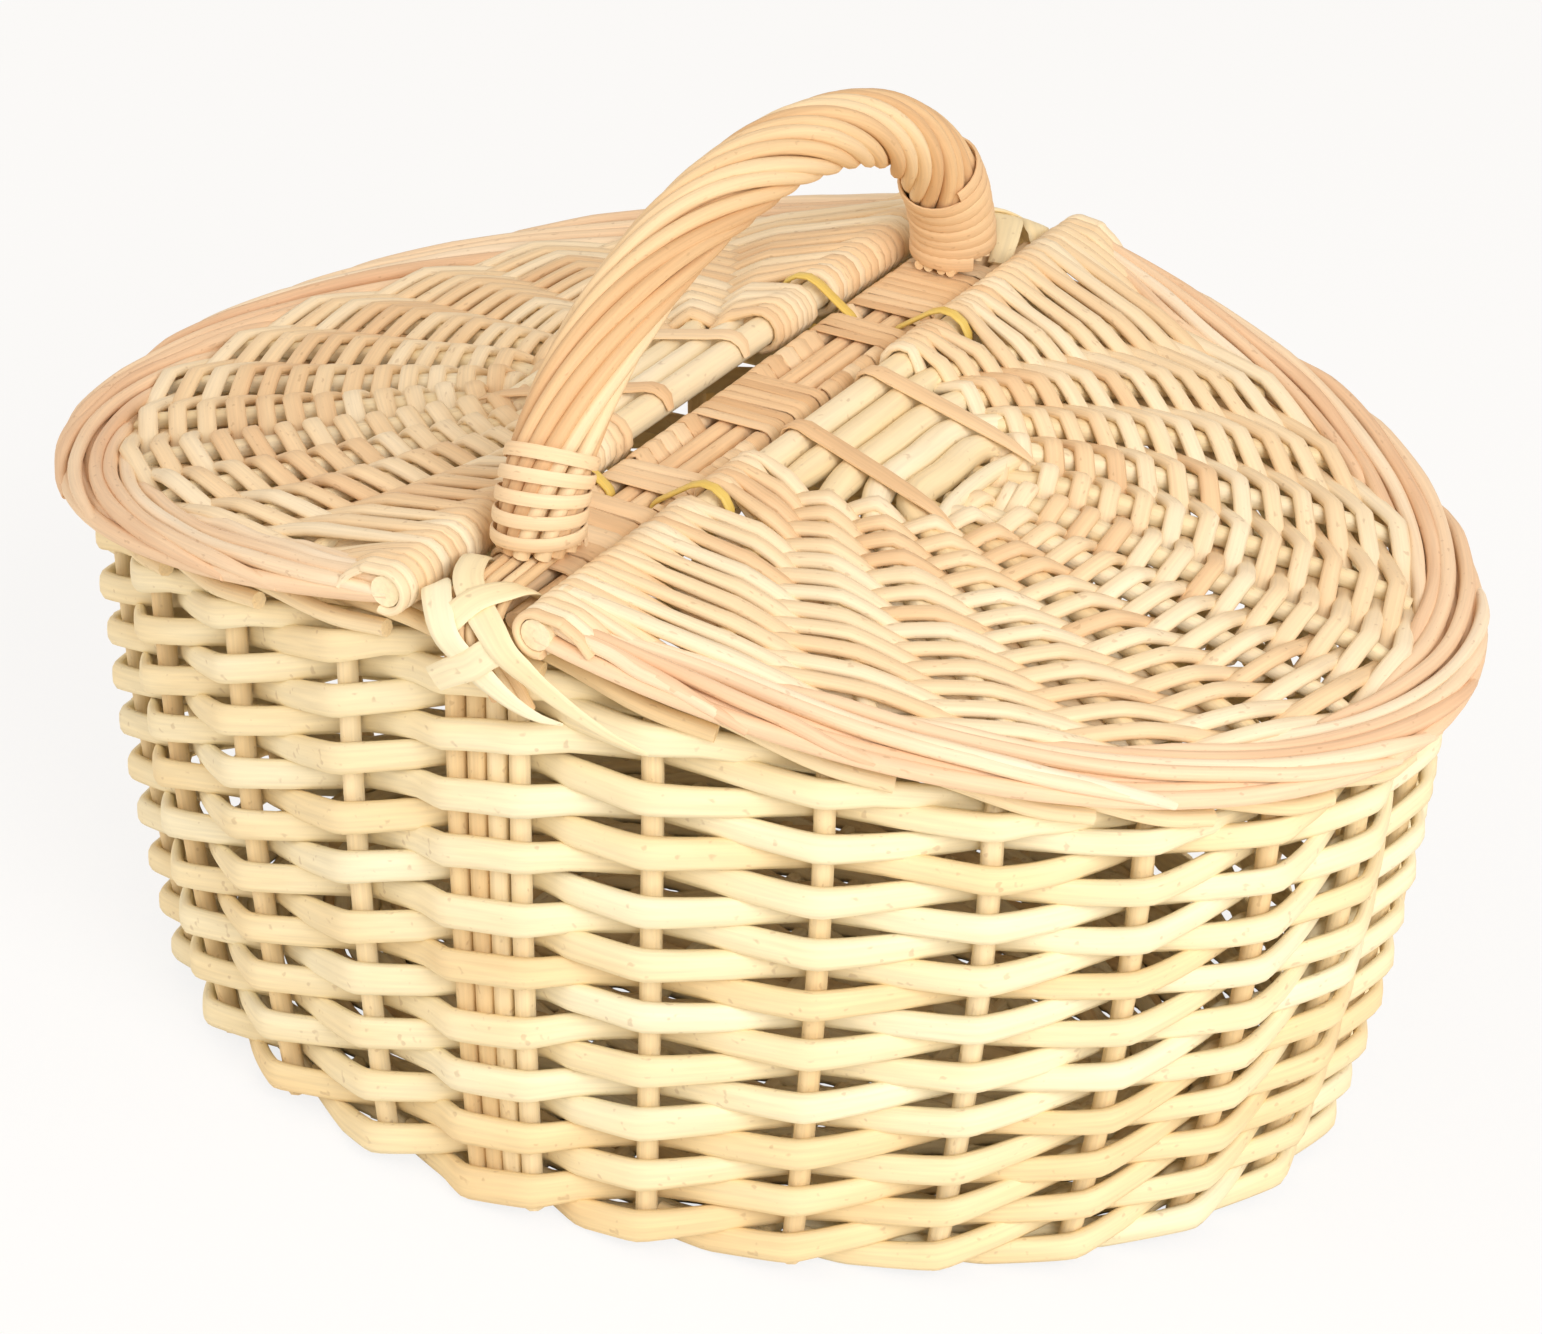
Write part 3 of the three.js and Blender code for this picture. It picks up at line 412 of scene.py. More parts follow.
def make_side():
    rng = np.random.default_rng(11)
    for i in range(STAKES):
        name = f"side_weaver_{i + 1:02d}"
        mesh = grow(name + "_rod", [side_weaver(i, rng)], SIDE_WILLOW, sides=12, flatness=WEAVER_FLATNESS)
        piece(name + "_rod", [mesh], "basket", [name])
    last = STAKES // 8
    half = STAKES // 2
    frames = {"front": (-last, last), "right": (last + 1, half - last - 1),
              "back": (half - last, half + last), "left": (half + last + 1, STAKES - last - 1)}
    for place, (first, final) in frames.items():
        rods = []
        for i in range(first, final + 1):
            if i % STAKES in HANDLE_STAKES:
                for x in HANDLE_UPRIGHTS_X:
                    rods.append(rim_stake(i, rng, x == HANDLE_UPRIGHTS_X[-1], x / RIM_HALF_X))
            else:
                rods.append(rim_stake(i, rng))
        mesh = grow(f"stakes_{place}", rods, STAKE_WILLOW)
        piece(f"stakes_{place}", [mesh], "basket", [f"stake_frame_{place}"])


# The base
def make_base():
    """Sticks along the middle, sticks across them, and rounds of weaving out to the stakes."""
    long_sticks, long_pitch, long_radius = 5, 7, 3.2
    cross_sticks, cross_pitch, cross_radius = 9, 17, 2.6
    rounds, round_radius, waves = 19, 2.5, 20
    rng = np.random.default_rng(23)
    rods = []
    for i in range(long_sticks):
        y = (i - long_sticks // 2) * long_pitch
        reach = 158 - 2 * abs(y)
        path = [(-reach, y, 4.4), (0, y, 4.6), (reach, y, 4.4)]
        rods.append(rod(path, long_radius, rng.uniform(0.2, 0.9)))
    for i in range(cross_sticks):
        x = (i - cross_sticks // 2) * cross_pitch
        reach = 118 * math.sqrt(1 - (x / 162) ** 2)
        path = through([(x, -reach, 4.2), (x, -24, 4.2), (x, 0, 8.6), (x, 24, 4.2), (x, reach, 4.2)], 6)
        rods.append(rod(path, cross_radius, rng.uniform(0.2, 0.9)))
    for k in range(rounds):
        share = k / (rounds - 1)
        a, b = 88 + share * 71, 22 + share * 97
        t = np.linspace(0, 2 * math.pi, 200)
        z = 4.5 + 1.7 * np.cos(waves * t + k * math.pi)
        path = np.stack([a * np.cos(t), b * np.sin(t), z], -1)
        rods.append(rod(path, round_radius, rng.uniform(0.1, 0.9)))
    mesh = grow("woven_base", rods, SIDE_WILLOW, sides=6)
    piece("woven_base", [mesh], "basket", ["base"])


# The bridge
def skein(y, half_width, lift, tint, woven, rng):
    """A turn of flat skein round the four sticks; where it is woven it dives under the two inner ones."""
    reach = BRIDGE_STICK_RADIUS + 0.8 + lift
    arc = np.linspace(-math.pi / 2, math.pi / 2, 7)
    right = [(BRIDGE_OUTER_X + reach * math.cos(a), reach * math.sin(a)) for a in arc]
    left = [(-x, -z) for x, z in right]
    top = [(x, reach) for x in (5, 0, -5)]
    under = reach
    if woven:
        top = [(6.3, -0.5), (3.5, -3.1), (0, -3.4), (-3.5, -3.1), (-6.3, -0.5)]
        under = reach + 1.0
    bottom = [(x, -under) for x in (-5, 0, 5)]
    section = np.array(right + top + left + bottom)
    lean = rng.normal(0, 0.4)
    slant = y + lean * section[:, 0] / BRIDGE_OUTER_X
    path = np.stack([section[:, 0], slant, BRIDGE_Z + section[:, 1]], -1)
    tangent = np.roll(section, -1, axis=0) - np.roll(section, 1, axis=0)
    face = unit(np.stack([tangent[:, 1], np.zeros(len(section)), -tangent[:, 0]], -1))
    return rod(path, half_width, tint, face, closed=True)


def winding(low, high, width, woven, rng):
    """Turns of skein side by side from low to high, each of about the given width."""
    count = max(1, round((high - low) / width))
    width = (high - low) / count
    turns = []
    for k in range(count):
        y = low + (k + 0.5) * width
        half_width = width * rng.uniform(0.47, 0.5)
        lift = rng.uniform(0, 0.18)
        tint = rng.uniform(0.1, 0.95)
        turns.append(skein(y, half_width, lift, tint, woven, rng))
    return turns


def make_bridge():
    rng = np.random.default_rng(31)
    for i, x in enumerate(BRIDGE_STICKS_X):
        y = np.linspace(-BRIDGE_HALF_LENGTH, BRIDGE_HALF_LENGTH, 40)
        path = np.stack([x + wander(rng, len(y), 0.12, 8), y, np.full(len(y), BRIDGE_Z)], -1)
        stick = rod(path, BRIDGE_STICK_RADIUS, rng.uniform(0.3, 0.8))
        name = f"bridge_stick_{i + 1}"
        mesh = grow(name + "_rod", [stick], SKEIN_WILLOW, sides=10)
        piece(name + "_rod", [mesh], "basket", [name])

    # Each winding's first and last y, the width of its turns, and whether it is woven
    wraps = {
        "front": [(-112, -70, 8.4, False), (-69.5, -66.5, 3, True), (-61.5, -47, 4.8, False),
                  (-46.5, -16, 6.2, True)],
        "centre": [(-15, 15, 4.3, False)],
        "back": [(70, 112, 4.3, False), (16, 48, 6.2, True), (48.5, 61.5, 4.4, False),
                 (66.5, 69.5, 3, True)],
    }
    for place, windings in wraps.items():
        turns = []
        for low, high, width, woven in windings:
            turns += winding(low, high, width, woven, rng)
        mesh = grow(f"bridge_skein_{place}", turns, SKEIN_WILLOW, sides=10, flatness=0.24)
        piece(f"bridge_skein_{place}", [mesh], "basket", [f"bridge_wrap_{place}"])


# The lids
def lid_turn(vectors, side):
    """Directions in a lid's own plane, as they are on the right or left side."""
    p = np.asarray(vectors, float)
    c, s = math.cos(LID_SLOPE), math.sin(LID_SLOPE)
    turn = 1 if side == "right" else -1
    return np.stack([turn * (c * p[:, 0] + s * p[:, 2]), turn * p[:, 1], c * p[:, 2] - s * p[:, 0]], -1)


def lid_place(points, side):
    """Points of a lid in its own plane, put in place on the right or left side."""
    hinge = (HINGE_X if side == "right" else -HINGE_X, 0, HINGE_Z)
    return lid_turn(points, side) + np.array(hinge)


def lid_oval(share):
    """The lid's half sizes at a share of the way from the eye to the border."""
    return [eye + share * (panel - eye) for eye, panel in zip(LID_EYE, LID_PANEL)]


def rib_angle(n, share):
    """Ribs stand at even steps round the outside and are drawn towards the bar near the eye."""
    outer = 2 * (n + 1) / (LID_RIBS + 1) - 1
    inner = math.copysign(1 - (1 - abs(outer)) ** RIB_FAN, outer)
    return math.pi / 2 * (inner + np.clip(share, 0, 1) * (outer - inner))


def rib_point(n, share, height=0.0):
    a, b = lid_oval(share)
    angle = rib_angle(n, share)
    return np.array([a * math.cos(angle), b * math.sin(angle), height])


def beside_tie(y):
    """Pushes the turns round the bar apart where a tie passes between them."""
    gap = abs(y) - TIE_Y
    pushed = abs(gap) + TIE_ROOM * math.exp(-(gap / TIE_ROOM_REACH) ** 2)
    return math.copysign(TIE_Y + math.copysign(pushed, gap), y)


def lid_row(k, rng):
    """A flat row of a lid: from rib to rib, over one and under the next, and turned round the bar."""
    share = k / LID_ROWS
    a, b = lid_oval(share)
    turn_radius = LID_BAR_RADIUS + ROLL_LIFT
    y = beside_tie(LID_EYE[1] + share * (ROLL_END_Y - LID_EYE[1]))
    turn = np.radians([*ROLL_TURN, 80])
    start = np.stack([turn_radius * np.cos(turn), np.full(len(turn), -y), turn_radius * np.sin(turn)], -1)
    reach = ROW_REACH - 4 * max(0, share - 0.7)
    stops = [start[-1]]
    for n in range(LID_RIBS):
        beside_bar = n in (0, LID_RIBS - 1)
        under = -0.5 * reach if beside_bar else -reach
        stops.append(rib_point(n, share, reach if (k + n) % 2 == 0 else under))
    stops.append(start[-1] * (1, -1, 1))
    middle = []
    for p, q in zip(stops[:-1], stops[1:]):
        for u in np.linspace(0, 1, 8, endpoint=False):
            ease = 0.7 * u + 0.15 - 0.15 * math.cos(math.pi * u)
            middle.append((*(p[:2] * (1 - u) + q[:2] * u), p[2] * (1 - ease) + q[2] * ease))
    path = np.vstack([start[:-1], middle, start[::-1] * (1, -1, 1)])
    angle = np.arctan2(path[:, 1] / b, np.maximum(path[:, 0], 0) / a)
    lateral = unit(np.stack([np.cos(angle) / a, np.sin(angle) / b, np.zeros(len(path))], -1))
    path += lateral * wander(rng, len(path), 0.25, 9)[:, None]
    path[:, 2] += wander(rng, len(path), 0.15, 9)
    face = unit(np.cross(lateral, np.gradient(path, axis=0)))
    # Round the bar a row is as wide as its share of the roll
    roll_half = 0.5 * (ROLL_END_Y - LID_EYE[1]) / LID_ROWS
    half = np.interp(np.arange(len(path)), [7, 15, len(path) - 16, len(path) - 8],
                     [roll_half, ROW_HALF_WIDTH, ROW_HALF_WIDTH, roll_half])
    return rod(path, half * (1 + wander(rng, len(path), 0.04, 12)), rng.uniform(0.25, 0.95), face)


def inner_row(k, rng):
    """A short row across the eye's outer end, tucked under at both ends."""
    share = -k / LID_ROWS
    over, under, tucked = 1.8, -4.2, (0, 0, 3)
    ribs = range(2 + k, LID_RIBS - 2 - k)
    stops = [rib_point(n, share, over if (k + n) % 2 else under) for n in ribs]
    ends = [stops[0] + (stops[0] - stops[1]) * 0.4, stops[-1] + (stops[-1] - stops[-2]) * 0.4]
    path = through([ends[0] * (1, 1, 0) - tucked, *stops, ends[1] * (1, 1, 0) - tucked], 6)
    lateral = unit(path * (1, 1, 0))
    face = unit(np.cross(lateral, np.gradient(path, axis=0)))
    return rod(path, ROW_HALF_WIDTH, rng.uniform(0.3, 0.95), face)


def corner_turns(rng):
    """The last turns round the bar at both corners, over the border's ends, with tails that run into it."""
    turn = np.radians([*ROLL_TURN, 85])
    turns = []
    for end in (-1, 1):
        for i in range(5):
            y = ROLL_END_Y + 0.2 + 3.5 * i
            if i < 2:
                radius = LID_BAR_RADIUS + ROLL_LIFT
                tail = [(8, y - 0.4, 5.0), (18, y - 1.6, 3.0), (28, y - 3.2, 0.4)]
            else:
                radius = LID_BAR_RADIUS + CORNER_LIFT
                tail = [(5, y - 0.2, 6.0), (10 - i, y - 0.5, 5.6), (15 - i, y - 1, 3.6),
                        (19 - i, y - 1.5, 0.4)]
            start = [(radius * math.cos(t), y, radius * math.sin(t)) for t in turn]
            path = through(start + tail, 3) * (1, end, 1)
            face = unit(np.cross((0, 1, 0), np.gradient(path, axis=0)))
            turns.append(rod(path, 1.9, rng.uniform(0.3, 0.95), face))
    return turns


def lid_rib(n, rng):
    """A rib from the eye to under the border; the middle ones reach lower down into the eye's outer end."""
    middle = 3 < n < LID_RIBS - 4
    dive = 0.93
    share = np.append(np.linspace(-0.17 if middle else -0.02, dive, 12), (0.96, 1.0))
    sink = 3.6 * np.clip((0.08 - share) / 0.25, 0, 1) if middle else np.zeros(len(share))
    path = np.array([rib_point(n, s, -28 * max(0, s - dive) - d) for s, d in zip(share, sink)])
    path[:, 2] += wander(rng, len(share), 0.1, 4)
    half = np.interp(share, [-0.17, 0.12, 1], [2.2 if middle else 3.2, 3.1, 2.4])
    return rod(path, half, rng.uniform(0.3, 1.0), (0, 0, 1))


def eye_rods(rng):
    """The thick rods beside the bar, whose ends fan out and go on as ribs, and the thin one outside them."""
    rods = []
    for i, x in enumerate((9.1, 17.9, 26.7, 35.5)):
        far = [rib_point(i, s) for s in (0.1, 0.0)]
        near = [rib_point(LID_RIBS - 1 - i, s) for s in (0.0, 0.1)]
        path = through(far + [(x, -18, 0.2), (x, 0, 0.2), (x, 18, 0.2)] + near, 5)
        reach = np.abs(path[:, 1]) / np.abs(path[:, 1]).max()
        rods.append(rod(path, 4.3 - 1.6 * np.clip((reach - 0.5) / 0.5, 0, 1), rng.uniform(0.35, 0.9)))
    thin = through([(45.8, -22, 0.4), (44.4, -8, 1.2), (44.4, 8, 1.2), (45.8, 22, 0.4)], 5)
    rods.append(rod(thin, 2.5, rng.uniform(0.3, 0.9)))
    return rods


def eye_bands(side, rng):
    """Flat slivers bound over the thick rods, from round the bar to a point tucked into the weave."""
    ends = [(-16, -25), (24, 20)] if side == "right" else [(-23, -19), (17, 26)]
    x = np.array([-5.2, -4.6, -2.6, 0.5, 5, 12, 20, 28, 36, 43, 48, 52])
    z = np.array([-1.0, 2.6, 4.6, 5.3, 5.2, 5.3, 5.3, 5.3, 5.2, 4.9, 4.0, 2.8])
    half = np.array([1.2, 1.9, 2.3, 2.6, 2.7, 2.7, 2.7, 2.6, 2.4, 2.0, 1.3, 0.4]) * 1.2
    bands = []
    for near, far in ends:
        y = near + (far - near) * np.clip(x / 50, 0, 1)
        path = np.stack([x, y, z], -1)
        face = unit(np.cross((0, 1, 0), np.gradient(path, axis=0)))
        bands.append(rod(path, half, rng.uniform(0.3, 0.9), face))
    return bands


def along_border(angle, across, lift):
    """A point beside the lid border's middle line; the border narrows to the bar's end at both corners."""
    a, b = LID_BORDER
    corner = np.clip((90 - np.abs(np.degrees(angle))) / 16, 0, 1)
    corner = corner * corner * (3 - 2 * corner)
    across = across * (0.5 + 0.5 * corner) + 3.6 * (1 - corner)
    normal = unit(np.stack([np.cos(angle) / a, np.sin(angle) / b], -1))
    x = a * np.cos(angle) + across * normal[:, 0]
    y = b * np.sin(angle) + across * normal[:, 1]
    return np.stack([x, y, lift], -1)


def lid_border_rods(rng):
    """Rods that come up inside the border, cross its top and go down outside it, and the core they cover."""
    count, span, shortest = 15, 60, 8
    stages = [0, 0.06, 0.16, 0.4, 0.72, 0.88, 0.96, 1.0]
    across_at = [-6.5, -9.4, -8.8, -3.0, 4.2, 7.4, 8.4, 8.2]
    lift_at = [-3.0, -0.8, 0.9, 2.2, 2.8, 1.6, -0.6, -2.4]
    rods = []
    for i in range(-7, count):
        start = -90 + 180 * i / count + rng.uniform(-2, 2)
        reach = span * rng.uniform(0.9, 1.15)
        first, last = max(start, -90), min(start + reach, 90)
        if last - first < shortest:
            continue
        angle = np.radians(np.linspace(first, last, 40))
        stage = (np.degrees(angle) - start) / reach
        across = np.interp(stage, stages, across_at) + wander(rng, len(angle), 0.35, 10)
        lift = np.interp(stage, stages, lift_at) + wander(rng, len(angle), 0.3, 10)
        half = 2.15 * rng.uniform(0.9, 1.1) * np.interp(stage, [0, 0.1, 0.85, 1], [0.7, 1, 1, 0.65])
        path = along_border(angle, across, np.clip(lift, -3.1, 3.1))
        rods.append(rod(path, half, rng.uniform(0.05, 0.95)))
    core_lift, core_radius = -1.6, 2.4
    angle = np.linspace(-math.pi / 2, math.pi / 2, 60)
    for across in (-7.4, -3.7, 0, 3.7, 7.2):
        path = along_border(angle, np.full(len(angle), across), np.full(len(angle), core_lift))
        rods.append(rod(path, core_radius, 0.3))
    return rods


def cane_tie(y, side):
    """A cane loop round the bridge's outer stick and the lid's bar."""
    bar = (HINGE_X, HINGE_Z, LID_BAR_RADIUS + 3.3)
    stick = (BRIDGE_OUTER_X, BRIDGE_Z, BRIDGE_STICK_RADIUS + 0.95)
    lean = math.atan2(bar[1] - stick[1], bar[0] - stick[0])
    opening = math.acos((stick[2] - bar[2]) / math.hypot(bar[1] - stick[1], bar[0] - stick[0]))
    points, faces = [], []
    for (x, z, r), start, sweep in [(bar, -opening, 2 * opening), (stick, opening, 2 * (math.pi - opening))]:
        for t in np.linspace(0, 1, 9):
            angle = lean + start + sweep * t
            faces.append((math.cos(angle), 0, math.sin(angle)))
            points.append((x + r * math.cos(angle), y, z + r * math.sin(angle)))
    turn = np.array([1, 1, 1]) if side == "right" else np.array([-1, -1, 1])
    return rod(np.array(points) * turn, TIE_WIDTH / 2, 0.6, np.array(faces) * turn, closed=True)


def on_lid(rods, side):
    return [{**r, "path": lid_place(r["path"], side), "face": lid_turn(r["face"], side)} for r in rods]


def make_lid(side, seed):
    rng = np.random.default_rng(seed)
    body = side + "_lid"
    # The bar goes on to the corners inside the roll
    y = np.linspace(-BAR_HALF_LENGTH, BAR_HALF_LENGTH, 40)
    bar = rod(np.stack([np.zeros(len(y)), y, np.zeros(len(y))], -1), LID_BAR_RADIUS, 0.7)
    mesh = grow(f"{side}_hinge_bar", on_lid([bar], side), RIB_WILLOW, sides=14)
    piece(f"{side}_hinge_bar", [mesh], body, [f"{side}_lid_bar"])
    rows = [lid_row(k, rng) for k in range(LID_ROWS + 1)]
    rows += [inner_row(k, rng) for k in (1, 2)]
    rows += corner_turns(rng)
    ribs = [lid_rib(n, rng) for n in range(LID_RIBS)]
    eye = eye_rods(rng)
    bands = eye_bands(side, rng)
    parts = [grow(f"{side}_lid_rows", on_lid(rows, side), LID_WILLOW, sides=10, flatness=0.58),
             grow(f"{side}_lid_ribs", on_lid(ribs, side), RIB_WILLOW, sides=12, flatness=0.9),
             grow(f"{side}_lid_eye", on_lid(eye, side), RIB_WILLOW, sides=14),
             grow(f"{side}_lid_bands", on_lid(bands, side), SKEIN_WILLOW, sides=10, flatness=0.26)]
    piece(f"{side}_lid_rows", parts, body, [f"{side}_lid_weave"])
    mesh = grow(f"{side}_lid_plait", on_lid(lid_border_rods(rng), side), PLAIT_WILLOW, sides=10)
    piece(f"{side}_lid_plait", [mesh], body, [f"{side}_lid_border"])
    for i, y in enumerate((-TIE_Y, TIE_Y)):
        mesh = grow(f"{side}_cane_tie_{i + 1}", [cane_tie(y, side)], CANE, sides=10, flatness=0.4)
        piece(f"{side}_cane_tie_{i + 1}", [mesh], "basket", [f"{side}_hinge_tie_{i + 1}"])


# The handle
def arch(share):
    """The handle's middle line at a share of the way over, and which way its inside is."""
    t = math.pi * np.asarray(share, float)
    zero = np.zeros_like(t)
    centre = np.stack([zero, -HANDLE_HALF_SPAN * np.cos(t), HANDLE_FOOT + HANDLE_RISE * np.sin(t)], -1)
    along = unit(np.stack([zero, HANDLE_HALF_SPAN * np.sin(t), HANDLE_RISE * np.cos(t)], -1))
    inward = np.stack([zero, along[:, 2], -along[:, 1]], -1)
    return centre, inward


def round_arch(inward, angle):
    """Which way it is from the handle's middle line to a place at an angle round it."""
    return np.cos(angle)[:, None] * np.array([1, 0, 0]) + np.sin(angle)[:, None] * inward


def make_rope(rng):
    """Strands laid round a core with a slow, slightly uneven twist."""
    strands, twists = 13, 1.75
    core_radius, strand_radius, ring_radius = 7.4, 2.2, 8.55
    share = np.linspace(0, 1, 90)
    centre, inward = arch(share)
    rods = [rod(centre, core_radius, 0.1)]
    twist = 2 * math.pi * (twists * (share + 0.06 * np.sin(2 * math.pi * (share - 0.62))))
    for i in range(strands):
        angle = 2 * math.pi * i / strands + twist + wander(rng, len(share), 0.05, 15)
        ring = ring_radius + wander(rng, len(share), 0.16, 12)
        path = centre + ring[:, None] * round_arch(inward, angle)
        rods.append(rod(path, strand_radius + wander(rng, len(share), 0.06, 18), rng.uniform(0.05, 0.95)))
    mesh = grow("handle_rope", rods, HANDLE_WILLOW, sides=10)
    piece("handle_rope", [mesh], "basket", ["handle_grip"])


def make_collars(rng):
    """Flat skein wound round the handle at both feet, with more turns at the back."""
    # The number of turns, the share of the arch that they cover, half the skein's width and its tone
    collars = {"front": (5.4, 0.122, 1.8, 0.75), "back": (7, 0.14, 2.15, 0.35)}
    t = np.linspace(0, 1, 200)
    for end, (turns, wound, half_width, tint) in collars.items():
        along = 0.002 + wound * t
        centre, inward = arch(along if end == "front" else 1 - along)
        radial = round_arch(inward, 2 * math.pi * turns * t + 0.6)
        path = centre + (HANDLE_RADIUS + 0.85 + wander(rng, len(t), 0.12, 9))[:, None] * radial
        strip = rod(path, half_width, tint, radial)
        mesh = grow(f"collar_{end}", [strip], SKEIN_WILLOW, sides=10, flatness=0.3)
        piece(f"collar_{end}", [mesh], "basket", [f"handle_collar_{end}"])


# The way from the handle's front foot over the rim and down outside it
SHOULDER = np.array([(0, -98.2, SPLINT_Z), (0, -119.8, SPLINT_Z), (0, -136, SPLINT_Z),
                     (0, -SHOULDER_Y - 1, SPLINT_Z - 6), (0, -SHOULDER_Y - 1, SPLINT_Z - 17),
                     (0, -SHOULDER_Y, SPLINT_Z - 34)])

# Each strip's x, its share of the way over the shoulder, and its height off the splints' middle
LASHINGS = [
    [(-13.1, 0.43, -9.5), (-13.2, 0.43, -5.0), (-12.5, 0.433, -1.4), (-11, 0.448, 0.8), (-8.6, 0.50, 2.0),
     (-3.2, 0.61, 3.4), (1.8, 0.70, 2.7), (5, 0.748, 2.2), (8.8, 0.80, 2.4), (15, 0.862, 1.6),
     (21.5, 0.905, 0.2), (27, 0.93, -2.5)],
    [(-10.6, 0.17, -2.8), (-9.8, 0.22, 0.6), (-8, 0.28, 2.0), (-4, 0.385, 2.2), (2.6, 0.487, 2.2),
     (8.5, 0.56, 2.8), (14.2, 0.63, 3.4), (19.5, 0.70, 2.8), (27.5, 0.80, 2.4), (39.5, 0.89, 1.6),
     (51, 0.95, 0.2)],
    [(10.6, 0.25, -4.5), (10.4, 0.30, -1.4), (9.9, 0.35, 1.3), (8.0, 0.405, 2.7), (2.6, 0.487, 3.4),
     (-3.2, 0.605, 2.2), (-7.2, 0.655, 1.2)],
    [(15.0, 0.622, 1.6), (12.8, 0.642, 2.3), (9.4, 0.68, 2.9), (4.9, 0.746, 3.4), (-1, 0.805, 2.8),
     (-7.5, 0.865, 1.0)],
]


def shoulder_path(stops):
    """A path over the shoulder beside the handle's front foot, and the way that each of its points faces."""
    line = through(SHOULDER, 40)
    x, share, lift = through(stops, 6).T
    spot = np.clip(share, 0, 1) * (len(line) - 1)
    normal = unit(np.cross(np.gradient(line, axis=0), (1, 0, 0)))
    index = np.arange(len(line))
    base = np.stack([np.interp(spot, index, line[:, c]) for c in range(3)], -1)
    face = np.stack([np.interp(spot, index, normal[:, c]) for c in range(3)], -1)
    face *= np.sign(face[:, 2:3] * 2 - face[:, 1:2])
    base[:, 0] = x
    base[:, 1] += RIM_HALF_Y * (1 - np.sqrt(1 - (x / RIM_HALF_X) ** 2))
    path = base + lift[:, None] * face
    along = unit(np.gradient(path, axis=0))
    face -= (face * along).sum(1, keepdims=True) * along
    return path, unit(face)


def make_shoulders(rng):
    """The splints that go down from the handle's feet, in pairs, and the crossed lashings over them."""
    for end, turn in (("front", 1), ("back", -1)):
        flip = np.array([turn, turn, 1])
        for i, x in enumerate((-3.5, 3.5)):
            rods = []
            for d in (-1.45, 1.45):
                stops = [(x + d + 11 * s ** 1.5, s, -32 * max(0, s - 0.71)) for s in np.linspace(0, 0.94, 9)]
                rods.append(rod(shoulder_path(stops)[0] * flip, 1.4, rng.uniform(0.3, 1)))
            name = f"splints_{end}_{i + 1}"
            mesh = grow(name, rods, HANDLE_WILLOW, sides=10)
            piece(name, [mesh], "basket", [f"handle_splint_{end}_{i + 1}"])
        strips = []
        for stops in LASHINGS:
            path, face = shoulder_path(stops)
            first, last = (3.3, 0.5) if stops[-1][0] > 0 else (2.9, 3.6)
            half = np.interp(np.linspace(0, 1, len(path)), [0, 0.3, 0.7, 1], [first, 3.9, 3.9, last])
            strips.append(rod(path * flip, half, rng.uniform(0.5, 1.0), face * flip))
        mesh = grow(f"lashing_{end}", strips, SIDE_WILLOW, sides=12, flatness=0.17)
        piece(f"lashing_{end}", [mesh], "basket", [f"handle_lashing_{end}"])


def make_handle():
    rng = np.random.default_rng(47)
    make_rope(rng)
    make_collars(rng)
    make_shoulders(rng)


make_side()
make_base()
make_bridge()
make_lid("right", 61)
make_lid("left", 67)
make_handle()


# Studio: a pale floor that keeps the shadow, soft lamps and the photograph's camera
def make_world():
    """White where it is seen or mirrored, and a warm even light on everything else."""
    world = bpy.data.worlds.new("studio")
    world.use_nodes = True
    tree = world.node_tree
    tree.nodes.clear()
    path = node(tree, "ShaderNodeLightPath").outputs
    seen = maths(tree, "MAXIMUM", path["Is Camera Ray"], path["Is Glossy Ray"])
    seen = maths(tree, "MAXIMUM", seen, path["Is Transmission Ray"])
    strength = ranged(tree, seen, wanted=(0.64, 1.0))
    tone = mixed(tree, seen, linear("#ffeeda")[:3], (1, 1, 1))
    sky = node(tree, "ShaderNodeBackground", {"Color": tone, "Strength": strength}).outputs[0]
    node(tree, "ShaderNodeOutputWorld", {"Surface": sky})
    bpy.context.scene.world = world


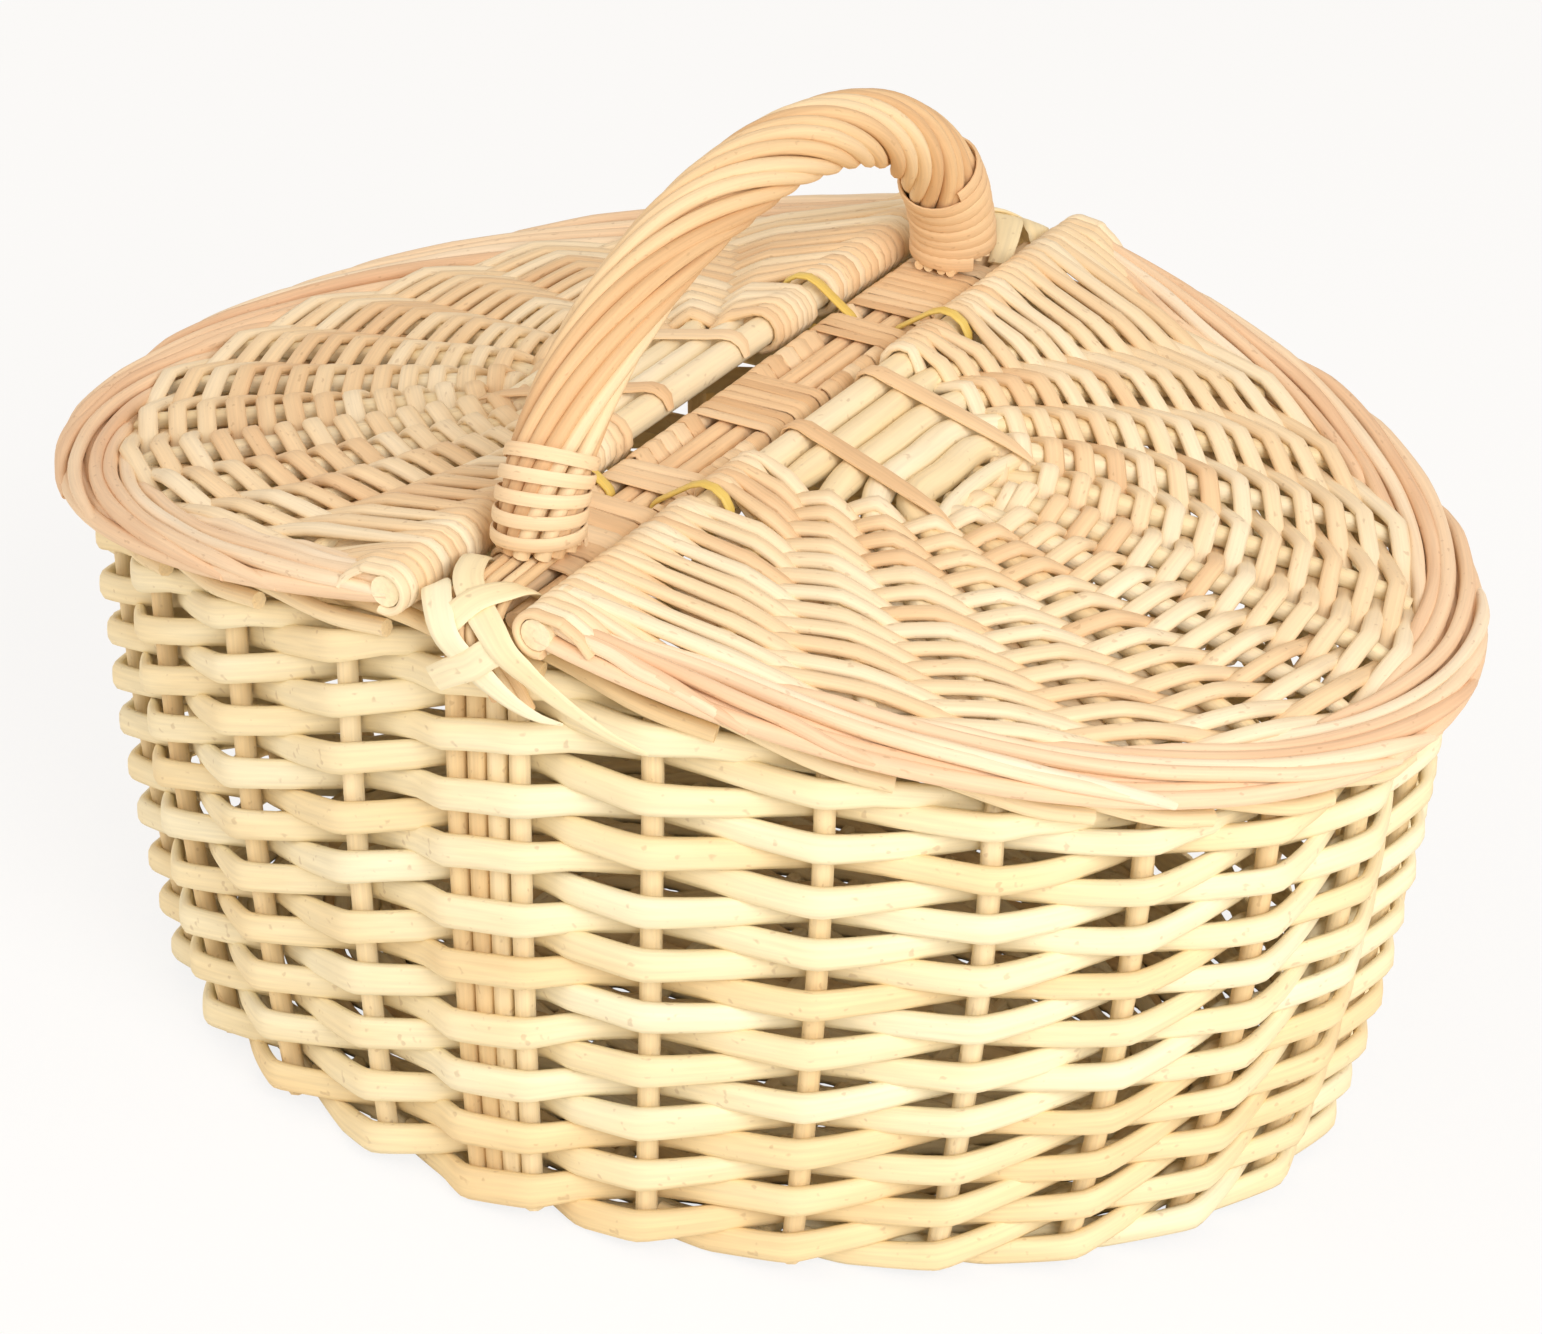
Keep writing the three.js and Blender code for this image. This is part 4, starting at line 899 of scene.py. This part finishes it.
def make_floor():
    """Matt white paper, partly lit from itself where the camera sees it, so that the shadow stays soft."""
    reach, z = 6.0, -0.0005
    corners = [(-reach, -reach, z), (reach, -reach, z), (reach, reach, z), (-reach, reach, z)]
    mesh = bpy.data.meshes.new("floor")
    mesh.from_pydata(corners, [], [(0, 1, 2, 3)])
    floor = bpy.data.objects.new("floor", mesh)
    bpy.context.scene.collection.objects.link(floor)
    paper = bpy.data.materials.new("white_paper_sweep")
    paper.use_nodes = True
    tree = paper.node_tree
    tree.nodes.clear()
    path = node(tree, "ShaderNodeLightPath").outputs
    matt = node(tree, "ShaderNodeBsdfDiffuse", {"Color": linear("#f7f6f4")}).outputs[0]
    glow = node(tree, "ShaderNodeEmission", {"Color": (1, 1, 1, 1), "Strength": 1.0}).outputs[0]
    share = maths(tree, "MULTIPLY", path["Is Camera Ray"], 0.82)
    both = node(tree, "ShaderNodeMixShader", {0: share, 1: matt, 2: glow}).outputs[0]
    node(tree, "ShaderNodeOutputMaterial", {"Surface": both})
    mesh.materials.append(paper)


def make_lamp(name, place, size, power):
    """A round lamp that points at the middle of the floor."""
    data = bpy.data.lights.new(name, "AREA")
    data.shape = "DISK"
    data.size = size
    data.energy = power
    lamp = bpy.data.objects.new(name, data)
    bpy.context.scene.collection.objects.link(lamp)
    lamp.location = place
    aim = -lamp.location.normalized()
    lamp.rotation_euler = aim.to_track_quat("-Z", "Y").to_euler()


def make_camera():
    """The photograph's camera: its angles, the point it looks at and how far off it stands."""
    azimuth, elevation, roll = math.radians(29.58), math.radians(27.84), math.radians(1.14)
    aside, height, distance = 4.91, 104.4, 1466.6
    level = np.array([math.cos(azimuth), math.sin(azimuth), 0])
    outward = np.array([math.sin(azimuth), -math.cos(azimuth), 0])
    back = outward * math.cos(elevation) + np.array([0, 0, math.sin(elevation)])
    upright = np.cross(back, level)
    right = math.cos(roll) * level + math.sin(roll) * upright
    up = -math.sin(roll) * level + math.cos(roll) * upright
    place = (aside * level + np.array([0, 0, height]) + back * distance) * MM
    data = bpy.data.cameras.new("camera")
    data.sensor_width = 36
    data.lens = 125.3
    camera = bpy.data.objects.new("camera", data)
    bpy.context.scene.collection.objects.link(camera)
    axes = np.stack([right, up, back], 1)
    camera.matrix_world = Matrix([[*row, p] for row, p in zip(axes, place)] + [[0, 0, 0, 1]])
    bpy.context.scene.camera = camera


make_world()
make_floor()
make_lamp("key", (1.45, -1.1, 1.25), 1.2, 30)
make_lamp("fill", (-1.6, -1.2, 1.2), 1.6, 9)
make_camera()
bpy.context.scene.view_settings.view_transform = "Standard"
